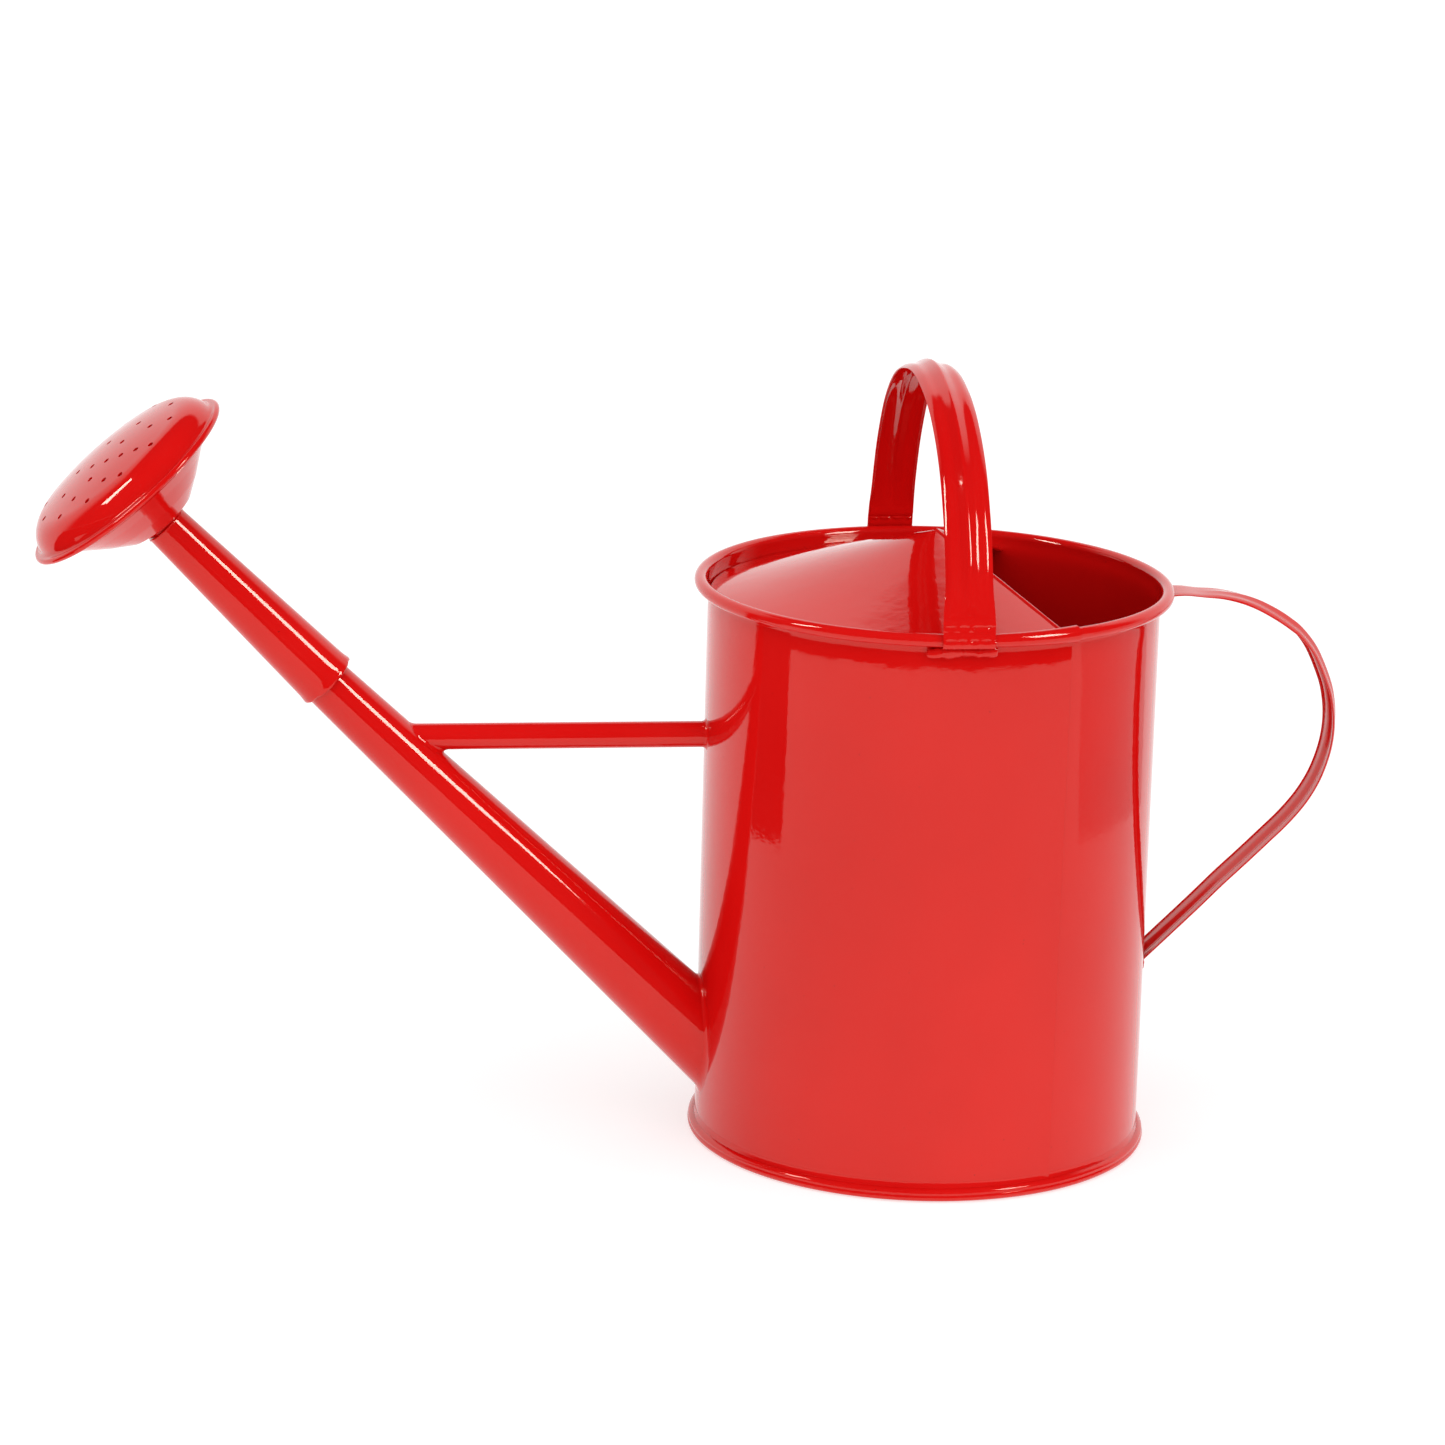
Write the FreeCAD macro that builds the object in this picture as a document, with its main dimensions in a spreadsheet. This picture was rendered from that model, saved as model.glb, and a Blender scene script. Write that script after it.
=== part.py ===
import FreeCAD, Part
import Sketcher
import math
import os

# Watering can: rolled tin body with wired rim, conical splash guard, strap
# handles, tapered spout with brace, and a pull-off rose. Millimetres, +Z up.
# Origin: centre of the resting plane. Spout towards -X, rear handle +X.

os.makedirs("parts", exist_ok=True)
doc = FreeCAD.newDocument("watering_can")
V = FreeCAD.Vector

# ---------------------------------------------------------------- parameters
sheet = doc.addObject("Spreadsheet::Sheet", "P")
PARAMS = [
    ("wall_rad", 90.0, "outer radius of the straight body wall"),
    ("sheet_thk", 0.9, "sheet thickness of body, spout, guard"),
    ("wall_foot", 2.45, "lower edge of the wall, inside the base seam"),
    ("flare_low", 219.0, "where the wall starts to flare to the rim roll"),
    ("bead_rad", 92.8, "centre radius of the rim roll"),
    ("bead_z", 226.8, "centre height of the rim roll"),
    ("bead_tube", 2.6, "outer radius of the rim roll"),
    ("wire_tube", 1.6, "radius of the wire inside the rim roll"),
    ("seam_rad", 92.9, "outer radius of the base seam"),
    ("seam_high", 4.8, "height of the base seam"),
    ("seam_round", 1.5, "rounding of the base seam"),
    ("land_in", 89.4, "inner radius of the flat resting land"),
    ("disc_low", 2.6, "underside of the bottom disc"),
    ("disc_high", 3.5, "upper side of the bottom disc"),
    ("fit_gap", 0.05, "gap between soldered sheets"),
    ("guard_apex", 249.0, "height of the splash guard apex"),
    ("guard_foot", 222.6, "height of the guard edge at the wall"),
    ("guard_half", 118.0, "half angle covered by the guard"),
    ("hem_tube", 1.1, "radius of the guard's rolled free edge"),
    ("top_x", -2.6, "centre plane of the top handle"),
    ("top_wide", 18.2, "width of the handle straps"),
    ("strap_thk", 1.0, "strap sheet thickness"),
    ("curl_drop", 1.3, "how far the strap edges curl down"),
    ("curl_wide", 1.9, "width of the curled strap edge"),
    ("rib_half", 3.6, "half width of the central strap rib"),
    ("rib_high", 2.0, "height of the strap rib over the shoulders"),
    ("leg_rad", 84.4, "radius of the top handle's side arcs"),
    ("leg_y", 9.84, "side arc centre, from the middle"),
    ("leg_z", 227.1, "side arc centre height"),
    ("crown_rad", 103.35, "radius of the top handle's crown arc"),
    ("leg_low", 234.5, "where the formed strap becomes a flat foot"),
    ("foot_wide", 20.4, "width of the top handle feet"),
    ("foot_thk", 0.9, "thickness of the flattened foot"),
    ("rear_top", 224.0, "height of the rear handle's upper end"),
    ("rear_x1", 112.0, "end of the rear handle's straight top"),
    ("rear_r1", 53.6, "upper bend radius of the rear handle"),
    ("rear_r2", 59.6, "lower bend radius of the rear handle"),
    ("rear_ang", 45.2, "turn of the rear handle's lower bend"),
    ("rear_low", 86.0, "radius where the rear handle's lower leg is aimed"),
    ("spout_x", -88.73, "point on the spout axis"),
    ("spout_z", 40.64, "height of that point"),
    ("spout_ang", 44.15, "rise of the spout axis"),
    ("spout_rad", 16.58, "spout outer radius at that point"),
    ("spout_taper", 0.032, "spout radius lost per mm"),
    ("spout_back", 32.0, "spout length behind the point"),
    ("spout_long", 213.0, "spout length ahead of the point"),
    ("neck_x", -99.95, "point on the neck sleeve axis"),
    ("neck_z", 48.30, "height of that point"),
    ("neck_ang", 45.01, "rise of the neck sleeve axis"),
    ("neck_rad", 19.372, "sleeve outer radius at that point"),
    ("neck_taper", 0.037, "sleeve radius lost per mm"),
    ("neck_from", 198.8, "sleeve mouth, distance from the point"),
    ("neck_to", 288.1, "sleeve top end, distance from the point"),
    ("tip_to", 246.0, "end of the spout tip inside the sleeve"),
    ("tip_rad1", 9.45, "spout tip radius at the sleeve mouth"),
    ("tip_rad2", 8.90, "spout tip radius at its end"),
    ("brace_z", 165.9, "height of the brace"),
    ("brace_rad", 5.25, "brace radius"),
    ("weld_wide", 1.5, "how far solder stands out round a joint"),
    ("rose_rise", 49.27, "rise of the rose axis"),
    ("rose_side", -3.49, "sideways turn of the rose axis"),
    ("flange_at", 23.26, "rose flange plane, from the sleeve top"),
    ("flange_rad", 46.5, "outer radius of the rose flange"),
    ("flange_tube", 1.3, "radius of the flange's rolled edge"),
    ("face_rad", 43.1, "outer radius of the rose face dome"),
    ("face_high", 14.86, "dome height over the flange plane"),
    ("face_sphere", 151.0, "curvature radius of the dome"),
    ("shoulder_rad", 34.08, "radius where the dome turns down"),
    ("rose_thk", 0.8, "sheet thickness of the rose"),
    ("hole_rad", 1.05, "radius of the rose holes"),
    ("spigot_rad", 7.35, "radius of the rose spigot in the sleeve"),
    ("spigot_long", 20.0, "length of the rose spigot"),
]
HOLES = [
    (2.7, -32.4), (21.5, -25.9), (-15.1, -29.6), (31.0, -12.6), (3.3, -18.1),
    (-10.7, -21.6), (7.4, -4.2), (-6.4, -9.3), (-28.0, -18.4), (33.0, 3.8),
    (-23.7, -12.6), (-18.9, -6.5), (-13.1, -0.5), (-5.8, 5.7), (4.9, 12.2),
    (-16.7, 8.7), (-27.2, 4.0), (-33.3, -2.5), (-5.9, 21.5), (-19.0, 18.2),
    (-30.6, 13.8), (13.3, 30.6), (-4.5, 33.1), (-20.4, 26.6),
]
LETTERS = "abcdefghijklmnopqrstuvwxyz"
row = 1
for name, value, note in PARAMS:
    sheet.set("A%d" % row, name)
    sheet.set("B%d" % row, repr(float(value)))
    sheet.setAlias("B%d" % row, name)
    sheet.set("C%d" % row, note)
    row += 1
for i, (hu, hv) in enumerate(HOLES):
    for tag, value in (("hole_u_", hu), ("hole_v_", hv)):
        name = tag + LETTERS[i] + "x"
        sheet.set("A%d" % row, name)
        sheet.set("B%d" % row, repr(float(value)))
        sheet.setAlias("B%d" % row, name)
        row += 1
doc.recompute()


class Q:
    """A number together with the sheet expression that makes it."""

    def __init__(self, v, e):
        self.v = float(v)
        self.e = e

    def __add__(self, o):
        o = q(o)
        return Q(self.v + o.v, "(%s + %s)" % (self.e, o.e))

    def __radd__(self, o):
        return q(o) + self

    def __sub__(self, o):
        o = q(o)
        return Q(self.v - o.v, "(%s - %s)" % (self.e, o.e))

    def __rsub__(self, o):
        return q(o) - self

    def __mul__(self, o):
        o = q(o)
        return Q(self.v * o.v, "(%s * %s)" % (self.e, o.e))

    def __rmul__(self, o):
        return q(o) * self

    def __truediv__(self, o):
        o = q(o)
        return Q(self.v / o.v, "(%s / %s)" % (self.e, o.e))

    def __neg__(self):
        return Q(-self.v, "(0 - %s)" % self.e)


def q(o):
    if isinstance(o, Q):
        return o
    return Q(o, repr(float(o)))


def sin(a):
    a = q(a)
    return Q(math.sin(math.radians(a.v)), "sin(%s)" % a.e)


def cos(a):
    a = q(a)
    return Q(math.cos(math.radians(a.v)), "cos(%s)" % a.e)


def sqrt(a):
    a = q(a)
    return Q(math.sqrt(a.v), "sqrt(%s)" % a.e)


def S(name):
    return Q(float(sheet.get(name)), "P." + name)


# ------------------------------------------------------------------- helpers
def body(name):
    return doc.addObject("PartDesign::Body", name)


def origin_plane(b, role):
    for f in b.Origin.OriginFeatures:
        if f.Role == role:
            return f
    raise RuntimeError("no origin feature " + role)


def new_sketch(b, name, role="XZ_Plane", offset=None):
    s = b.newObject("Sketcher::SketchObject", name)
    s.AttachmentSupport = [(origin_plane(b, role), "")]
    s.MapMode = "FlatFace"
    if offset is not None:
        s.AttachmentOffset = offset
    return s


def bind(s, kind, geo, pos, val):
    val = q(val)
    if kind == "Radius":
        c = s.addConstraint(Sketcher.Constraint("Radius", geo, abs(val.v)))
    else:
        c = s.addConstraint(Sketcher.Constraint(kind, geo, pos, val.v))
    if "P." in val.e:
        s.setExpression("Constraints[%d]" % c, val.e)
    return c


def profile(s, pts):
    """Closed profile. pts: (x, y) or (x, y, radius, side, large); the third
    to fifth describe the arc from this point to the next one: side +1 has the
    centre to the left of the way from this point to the next."""
    n = len(pts)
    P = [(q(p[0]), q(p[1])) for p in pts]
    ids = []
    for i in range(n):
        a = V(P[i][0].v, P[i][1].v, 0)
        j = (i + 1) % n
        b = V(P[j][0].v, P[j][1].v, 0)
        if len(pts[i]) == 2:
            g = s.addGeometry(Part.LineSegment(a, b), False)
            ids.append((g, 1, 2))
        else:
            rad = q(pts[i][2])
            side = pts[i][3]
            large = len(pts[i]) > 4 and pts[i][4]
            ch = b.sub(a)
            L = ch.Length
            hgt = math.sqrt(max(rad.v ** 2 - (L / 2) ** 2, 0.0))
            left = V(-ch.y / L, ch.x / L, 0)
            sg = side * (-1 if large else 1)
            c = a.add(b).multiply(0.5).add(left.multiply(hgt * sg))
            a0 = math.atan2(a.y - c.y, a.x - c.x)
            a1 = math.atan2(b.y - c.y, b.x - c.x)
            circ = Part.Circle(c, V(0, 0, 1), rad.v)
            if side > 0:
                g = s.addGeometry(Part.ArcOfCircle(circ, a0, a1), False)
                ids.append((g, 1, 2))
            else:
                g = s.addGeometry(Part.ArcOfCircle(circ, a1, a0), False)
                ids.append((g, 2, 1))
    for i in range(n):
        j = (i + 1) % n
        s.addConstraint(Sketcher.Constraint("Coincident", ids[i][0], ids[i][2],
                                            ids[j][0], ids[j][1]))
    for i in range(n):
        g, st, en = ids[i]
        bind(s, "DistanceX", g, st, P[i][0])
        bind(s, "DistanceY", g, st, P[i][1])
        if len(pts[i]) > 2:
            bind(s, "Radius", g, 0, pts[i][2])
    return ids


def revolve(b, s, name, angle=None, mid=False):
    r = b.newObject("PartDesign::Revolution", name)
    r.Profile = s
    r.ReferenceAxis = (s, ["V_Axis"])
    if angle is None:
        r.Angle = 360.0
    else:
        angle = q(angle)
        r.Angle = angle.v
        if "P." in angle.e:
            r.setExpression("Angle", angle.e)
    r.Midplane = mid
    s.Visibility = False
    return r


def pad_mid(b, s, name, length):
    p = b.newObject("PartDesign::Pad", name)
    p.Profile = s
    length = q(length)
    p.Length = length.v
    p.setExpression("Length", length.e)
    p.Midplane = True
    s.Visibility = False
    return p


def prim(kind, name, place=None, **dims):
    o = doc.addObject("Part::" + kind, name)
    for k, v in dims.items():
        v = q(v)
        setattr(o, k, v.v)
        if "P." in v.e:
            o.setExpression(k, v.e)
    if place is not None:
        o.Placement = place
    return o


def move(o, x, y, z):
    for k, v in (("x", x), ("y", y), ("z", z)):
        v = q(v)
        if "P." in v.e:
            o.setExpression("Placement.Base." + k, v.e)


def cut(name, a, b):
    o = doc.addObject("Part::Cut", name)
    o.Base = a
    o.Tool = b
    return o


def fuse(name, shapes):
    o = doc.addObject("Part::MultiFuse", name)
    o.Shapes = shapes
    return o


def common(name, shapes):
    o = doc.addObject("Part::MultiCommon", name)
    o.Shapes = shapes
    return o


def frame_of(rise, side=0.0):
    """Rotation taking local Z to the direction with this rise (from the
    horizontal -X way) and sideways turn; local X is level."""
    t, a = math.radians(rise), math.radians(side)
    d = V(-math.cos(t) * math.cos(a), math.cos(t) * math.sin(a), math.sin(t))
    n1 = d.cross(V(0, 0, 1))
    n1.normalize()
    n2 = d.cross(n1)
    return FreeCAD.Rotation(n1, n2, d, "ZXY"), d


gap = S("fit_gap")
R = S("wall_rad")
T = S("sheet_thk")
BR, BZ, BT = S("bead_rad"), S("bead_z"), S("bead_tube")

spout_rot, spout_dir = frame_of(S("spout_ang").v)
neck_rot, neck_dir = frame_of(S("neck_ang").v)
rose_rot, rose_dir = frame_of(S("rose_rise").v, S("rose_side").v)
spout_base = V(S("spout_x").v, 0, S("spout_z").v)
neck_base = V(S("neck_x").v, 0, S("neck_z").v)
SP = FreeCAD.Placement(spout_base, spout_rot)
NP = FreeCAD.Placement(neck_base, neck_rot)
rose_x = S("neck_x") - S("neck_to") * cos(S("neck_ang"))
rose_z = S("neck_z") + S("neck_to") * sin(S("neck_ang"))
RP = FreeCAD.Placement(V(rose_x.v, 0, rose_z.v), rose_rot)


def place_spout(o):
    o.Placement = SP
    move(o, S("spout_x"), 0, S("spout_z"))


def place_neck(o):
    o.Placement = NP
    move(o, S("neck_x"), 0, S("neck_z"))


def place_rose(o):
    o.Placement = RP
    move(o, rose_x, 0, rose_z)


nodes = []


def keep(obj, node):
    nodes.append((obj, node))


# ---------------------------------------------------------------- body shell
b = body("body_shell_body")
s = new_sketch(b, "wall_profile")
open_ang = 235.0
profile(s, [
    (R - T, S("wall_foot")),
    (R, S("wall_foot")),
    (R, S("flare_low")),
    (BR - (BT - T), BZ, BT - T, -1, True),
    (BR + (BT - T) * cos(open_ang), BZ + (BT - T) * sin(open_ang)),
    (BR + BT * cos(open_ang), BZ + BT * sin(open_ang), BT, 1, True),
    (BR - BT, BZ),
    (R - T, S("flare_low")),
])
revolve(b, s, "wall_turn")

# hole in the wall behind the spout
hole = prim("Cone", "spout_bore_tool",
            Radius1=S("spout_rad") - T + S("spout_taper") * 30.0,
            Radius2=S("spout_rad") - T - S("spout_taper") * 30.0, Height=60.0)
hole.Placement = FreeCAD.Placement(
    spout_base.sub(FreeCAD.Vector(spout_dir).multiply(30.0)), spout_rot)
move(hole, S("spout_x") + 30.0 * cos(S("spout_ang")), 0,
     S("spout_z") - 30.0 * sin(S("spout_ang")))
shell = cut("body_shell", b, hole)
keep(shell, "body_shell")

# ------------------------------------------------------------------ rim wire
wire = prim("Torus", "rim_wire", FreeCAD.Placement(V(0, 0, BZ.v),
            FreeCAD.Rotation()), Radius1=BR, Radius2=S("wire_tube"))
move(wire, 0, 0, BZ)
keep(wire, "rim_wire")

# ---------------------------------------------------------------- base plate
b = body("base_plate")
s = new_sketch(b, "base_profile")
SR, SH, SQ = S("seam_rad"), S("seam_high"), S("seam_round")
profile(s, [
    (0.0, S("disc_low")),
    (S("land_in") - 2.4, S("disc_low")),
    (S("land_in"), 0.0),
    (SR - SQ, 0.0, SQ, 1),
    (SR, SQ),
    (SR, SH - SQ, SQ, 1),
    (SR - SQ, SH),
    (R + gap, SH),
    (R + gap, S("wall_foot") - gap),
    (R - T - gap, S("wall_foot") - gap),
    (R - T - gap, S("disc_high")),
    (0.0, S("disc_high")),
])
revolve(b, s, "base_turn")
keep(b, "base_plate")

# -------------------------------------------------------------- splash guard
b = body("guard_cone_body")
s = new_sketch(b, "guard_profile")
GA, GF = S("guard_apex"), S("guard_foot")
gr = R - T - gap
profile(s, [
    (0.0, GA),
    (-gr, GF),
    (-gr, GF - T),
    (0.0, GA - T),
])
revolve(b, s, "guard_turn", S("guard_half") * 2.0, True)
hems = []
for sgn, tag in ((1, "near"), (-1, "far")):
    ang = math.radians(180.0 - sgn * S("guard_half").v)
    foot = V(math.cos(ang) * (gr.v - 1.6), -sgn * math.sin(ang) * (gr.v - 1.6),
             GF.v - T.v / 2 + (GA.v - GF.v) * 1.6 / gr.v)
    top = V(0, 0, GA.v - T.v / 2)
    dv = foot.sub(top)
    length = sqrt((gr - 1.6) * (gr - 1.6)
                  + (GA - GF) * (GA - GF) * (1.0 - 1.6 / gr.v) * (1.0 - 1.6 / gr.v))
    hem = prim("Cylinder", "guard_hem_" + tag,
               FreeCAD.Placement(top, FreeCAD.Rotation(V(0, 0, 1), dv)),
               Radius=S("hem_tube"), Height=length)
    move(hem, 0, 0, GA - T / 2.0)
    hems.append(hem)
cap = prim("Sphere", "guard_tip", FreeCAD.Placement(V(0, 0, GA.v - T.v / 2),
           FreeCAD.Rotation()), Radius=S("hem_tube"))
move(cap, 0, 0, GA - T / 2.0)
guard = fuse("splash_guard", [b] + hems + [cap])
keep(guard, "splash_guard")


# ------------------------------------------------------------ strap section
def strap_section(s, wide, flip=1.0):
    """Strap section: local x across, local y outwards; curled edges and a
    central rib, constant sheet thickness."""
    hw = wide / 2.0
    t = S("strap_thk")
    cd, cw = S("curl_drop"), S("curl_wide")
    rh, rr = S("rib_half"), S("rib_high")
    rib = (rh * rh + rr * rr) / (rr * 2.0)
    crl = (cw * cw + cd * cd) / (cd * 2.0)
    o = [(-hw, -cd, crl, -1), (cw - hw, 0.0), (-rh, 0.0, rib, -1), (rh, 0.0),
         (hw - cw, 0.0, crl, -1), (hw, -cd)]
    inner = [(hw - t * 0.6, -cd - t * 0.7, crl - t * 0.4, 1),
             (hw - cw - 0.1, -t), (rh, -t, rib, 1), (-rh, -t),
             (cw + 0.1 - hw, -t, crl - t * 0.4, 1),
             (t * 0.6 - hw, -cd - t * 0.7)]
    profile(s, o + inner)


# ---------------------------------------------------------------- top handle
b = body("top_strap_body")
LR, LY, LZ, CR = S("leg_rad"), S("leg_y"), S("leg_z"), S("crown_rad")
leg_rise = math.degrees(math.asin((S("leg_low").v - LZ.v) / LR.v))
y0 = LY + sqrt(LR * LR - (S("leg_low") - LZ) * (S("leg_low") - LZ))
psi = math.degrees(math.acos(LY.v / (CR.v - LR.v)))
crown_z = LZ - sqrt((CR - LR) * (CR - LR) - LY * LY)
path = new_sketch(b, "top_path", "YZ_Plane")
path.AttachmentOffset = FreeCAD.Placement(V(0, 0, S("top_x").v),
                                          FreeCAD.Rotation())
path.setExpression("AttachmentOffset.Base.z", "P.top_x")
c_far = V(LY.v, LZ.v, 0)
c_near = V(-LY.v, LZ.v, 0)
c_mid = V(0, crown_z.v, 0)
join_y, join_z = LY + LR * cos(psi), LZ + LR * sin(psi)
ga = path.addGeometry(Part.ArcOfCircle(Part.Circle(c_far, V(0, 0, 1), LR.v),
                      math.radians(leg_rise), math.radians(psi)), False)
gb = path.addGeometry(Part.ArcOfCircle(Part.Circle(c_mid, V(0, 0, 1), CR.v),
                      math.radians(psi), math.radians(180 - psi)), False)
gc = path.addGeometry(Part.ArcOfCircle(Part.Circle(c_near, V(0, 0, 1), LR.v),
                      math.radians(180 - psi), math.radians(180 - leg_rise)),
                      False)
path.addConstraint(Sketcher.Constraint("Coincident", ga, 2, gb, 1))
path.addConstraint(Sketcher.Constraint("Coincident", gb, 2, gc, 1))
bind(path, "DistanceX", ga, 3, LY)
bind(path, "DistanceY", ga, 3, LZ)
bind(path, "DistanceX", gb, 3, 0.0)
bind(path, "DistanceY", gb, 3, crown_z)
bind(path, "DistanceX", gc, 3, -LY)
bind(path, "DistanceY", gc, 3, LZ)
bind(path, "DistanceY", ga, 1, S("leg_low"))
bind(path, "DistanceY", gc, 2, S("leg_low"))
bind(path, "Radius", ga, 0, LR)
bind(path, "DistanceY", ga, 2, join_z)
bind(path, "DistanceY", gb, 2, join_z)
sec = new_sketch(b, "top_section", "XY_Plane", FreeCAD.Placement(
    V(S("top_x").v, y0.v, S("leg_low").v),
    FreeCAD.Rotation(V(1, 0, 0), leg_rise)))
sec.setExpression("AttachmentOffset.Base.x", "P.top_x")
sec.setExpression("AttachmentOffset.Base.y", y0.e)
sec.setExpression("AttachmentOffset.Base.z", "P.leg_low")
strap_section(sec, S("top_wide"))
pipe = b.newObject("PartDesign::AdditivePipe", "top_sweep")
pipe.Profile = sec
pipe.Spine = path
sec.Visibility = False
path.Visibility = False

# flat feet hooked over the rim roll, one profile padded across the strap
ft = S("foot_thk")
hook_in = BT + gap
hook_out = BT + gap + ft
feet = []
for sgn, tag in ((-1.0, "near"), (1.0, "far")):
    fb = body("top_foot_" + tag)
    s = new_sketch(fb, "foot_profile_" + tag, "YZ_Plane")
    s.AttachmentOffset = FreeCAD.Placement(V(0, 0, S("top_x").v),
                                           FreeCAD.Rotation())
    s.setExpression("AttachmentOffset.Base.z", "P.top_x")
    ca = 12.0
    ce = -62.0
    yo = y0 * sgn
    top_lift = 3.2
    pts = [
        (y0 * sgn, S("leg_low") + top_lift),
        ((BR + hook_out * cos(ca)) * sgn, BZ + hook_out * sin(ca),
         hook_out, -1 if sgn > 0 else 1),
        ((BR + hook_out * cos(ce)) * sgn, BZ + hook_out * sin(ce)),
        ((BR + hook_in * cos(ce)) * sgn, BZ + hook_in * sin(ce),
         hook_in, 1 if sgn > 0 else -1),
        ((BR + hook_in * cos(ca + 14.0)) * sgn, BZ + hook_in * sin(ca + 14.0)),
        ((y0 - ft) * sgn, S("leg_low") + top_lift),
    ]
    profile(s, pts)
    pad_mid(fb, s, "foot_pad_" + tag, S("foot_wide"))
    feet.append(fb)
top_all = fuse("top_handle", [b] + feet)
keep(top_all, "top_handle")

# --------------------------------------------------------------- rear handle
b = body("rear_strap_body")
RT, RX, R1, R2 = S("rear_top"), S("rear_x1"), S("rear_r1"), S("rear_r2")
RA, RL = S("rear_ang"), S("rear_low")
rx = RX + R1
c1 = (RX, RT - R1)
c2 = (rx - R2, RT - R1)
e2 = (rx - R2 + R2 * cos(RA), RT - R1 - R2 * sin(RA))
run = (e2[0] - RL) / sin(RA)
e3 = (RL, e2[1] - run * cos(RA))
start_x = S("rear_low")
path = new_sketch(b, "rear_path", "XZ_Plane")
g1 = path.addGeometry(Part.LineSegment(V(start_x.v, RT.v, 0), V(RX.v, RT.v, 0)))
g2 = path.addGeometry(Part.ArcOfCircle(Part.Circle(V(c1[0].v, c1[1].v, 0),
                      V(0, 0, 1), R1.v), 0.0, math.pi / 2))
g3 = path.addGeometry(Part.ArcOfCircle(Part.Circle(V(c2[0].v, c2[1].v, 0),
                      V(0, 0, 1), R2.v), -math.radians(RA.v), 0.0))
g4 = path.addGeometry(Part.LineSegment(V(e2[0].v, e2[1].v, 0),
                                       V(e3[0].v, e3[1].v, 0)))
path.addConstraint(Sketcher.Constraint("Coincident", g1, 2, g2, 2))
path.addConstraint(Sketcher.Constraint("Coincident", g2, 1, g3, 2))
path.addConstraint(Sketcher.Constraint("Coincident", g3, 1, g4, 1))
bind(path, "DistanceX", g1, 1, start_x)
bind(path, "DistanceY", g1, 1, RT)
bind(path, "DistanceX", g1, 2, RX)
bind(path, "DistanceY", g1, 2, RT)
bind(path, "DistanceX", g2, 3, c1[0])
bind(path, "DistanceY", g2, 3, c1[1])
bind(path, "DistanceY", g2, 1, c1[1])
bind(path, "DistanceX", g3, 3, c2[0])
bind(path, "DistanceY", g3, 3, c2[1])
bind(path, "DistanceX", g3, 1, e2[0])
bind(path, "DistanceX", g4, 2, e3[0])
bind(path, "DistanceY", g4, 2, e3[1])
sec = new_sketch(b, "rear_section", "YZ_Plane", FreeCAD.Placement(
    V(0, RT.v, start_x.v), FreeCAD.Rotation()))
sec.setExpression("AttachmentOffset.Base.y", "P.rear_top")
sec.setExpression("AttachmentOffset.Base.z", start_x.e)
strap_section(sec, S("top_wide"))
pipe = b.newObject("PartDesign::AdditivePipe", "rear_sweep")
pipe.Profile = sec
pipe.Spine = path
sec.Visibility = False
path.Visibility = False
# trim both ends to the wall, and the upper end clear of the rim roll
wall_tool = prim("Cylinder", "wall_tool", Radius=R + gap, Height=260.0)
bead_tool = prim("Torus", "bead_tool", FreeCAD.Placement(V(0, 0, BZ.v),
                 FreeCAD.Rotation()), Radius1=BR, Radius2=BT + gap)
move(bead_tool, 0, 0, BZ)
flare_tool = prim("Cone", "flare_tool", FreeCAD.Placement(
    V(0, 0, S("flare_low").v - 2.0), FreeCAD.Rotation()),
    Radius1=R + gap - 0.3, Radius2=BR - (BT - T) + gap + 0.2,
    Height=BZ - S("flare_low") + 2.0)
move(flare_tool, 0, 0, S("flare_low") - 2.0)
can_tool = fuse("can_tool", [wall_tool, bead_tool, flare_tool])
rear = cut("rear_handle", b, can_tool)
keep(rear, "rear_handle")

# ---------------------------------------------------------------- spout tube
SRAD, STP = S("spout_rad"), S("spout_taper")
b = body("spout_cone_body")
s = new_sketch(b, "spout_profile")
SB, SL = S("spout_back"), S("spout_long")
profile(s, [
    (SRAD + STP * SB - T, -SB),
    (SRAD + STP * SB, -SB),
    (SRAD - STP * SL, SL),
    (SRAD - STP * SL - T * 1.6, SL),
    (SRAD - STP * SL - T * 1.6, SL - 1.5),
    (SRAD - STP * (SL - 4.0) - T, SL - 4.0),
])
revolve(b, s, "spout_turn")
place_spout(b)
spout_cone = b
b = body("spout_tip_body")
s = new_sketch(b, "tip_profile")
NF, NT, NRAD, NTP = S("neck_from"), S("neck_to"), S("neck_rad"), S("neck_taper")
profile(s, [
    (S("tip_rad1") - T * 1.1, NF - 0.5),
    (S("tip_rad1"), NF - 0.5),
    (S("tip_rad2"), S("tip_to")),
    (S("tip_rad2") - T * 1.1, S("tip_to")),
])
revolve(b, s, "tip_turn")
place_neck(b)
spout_sum = fuse("spout_sum", [spout_cone, b])
spout_wall = prim("Cylinder", "spout_wall_tool", Radius=R + gap, Height=260.0)
spout = cut("spout_tube", spout_sum, spout_wall)
keep(spout, "spout_tube")

# --------------------------------------------------------------- spout brace
BZZ, BRR = S("brace_z"), S("brace_rad")
rot_x = FreeCAD.Rotation(V(0, 0, 1), V(-1, 0, 0))
rod = prim("Cylinder", "brace_rod", FreeCAD.Placement(V(-80, 0, BZZ.v), rot_x),
           Radius=BRR, Height=150.0)
rod.setExpression("Placement.Base.z", "P.brace_z")


def spout_solid(name, extra):
    c = prim("Cone", name, Radius1=SRAD + STP * SB + extra,
             Radius2=SRAD - STP * (SL + 20.0) + extra, Height=SB + SL + 20.0)
    c.Placement = FreeCAD.Placement(
        spout_base.sub(FreeCAD.Vector(spout_dir).multiply(SB.v)), spout_rot)
    move(c, S("spout_x") + SB * cos(S("spout_ang")), 0,
         S("spout_z") - SB * sin(S("spout_ang")))
    return c


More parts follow.
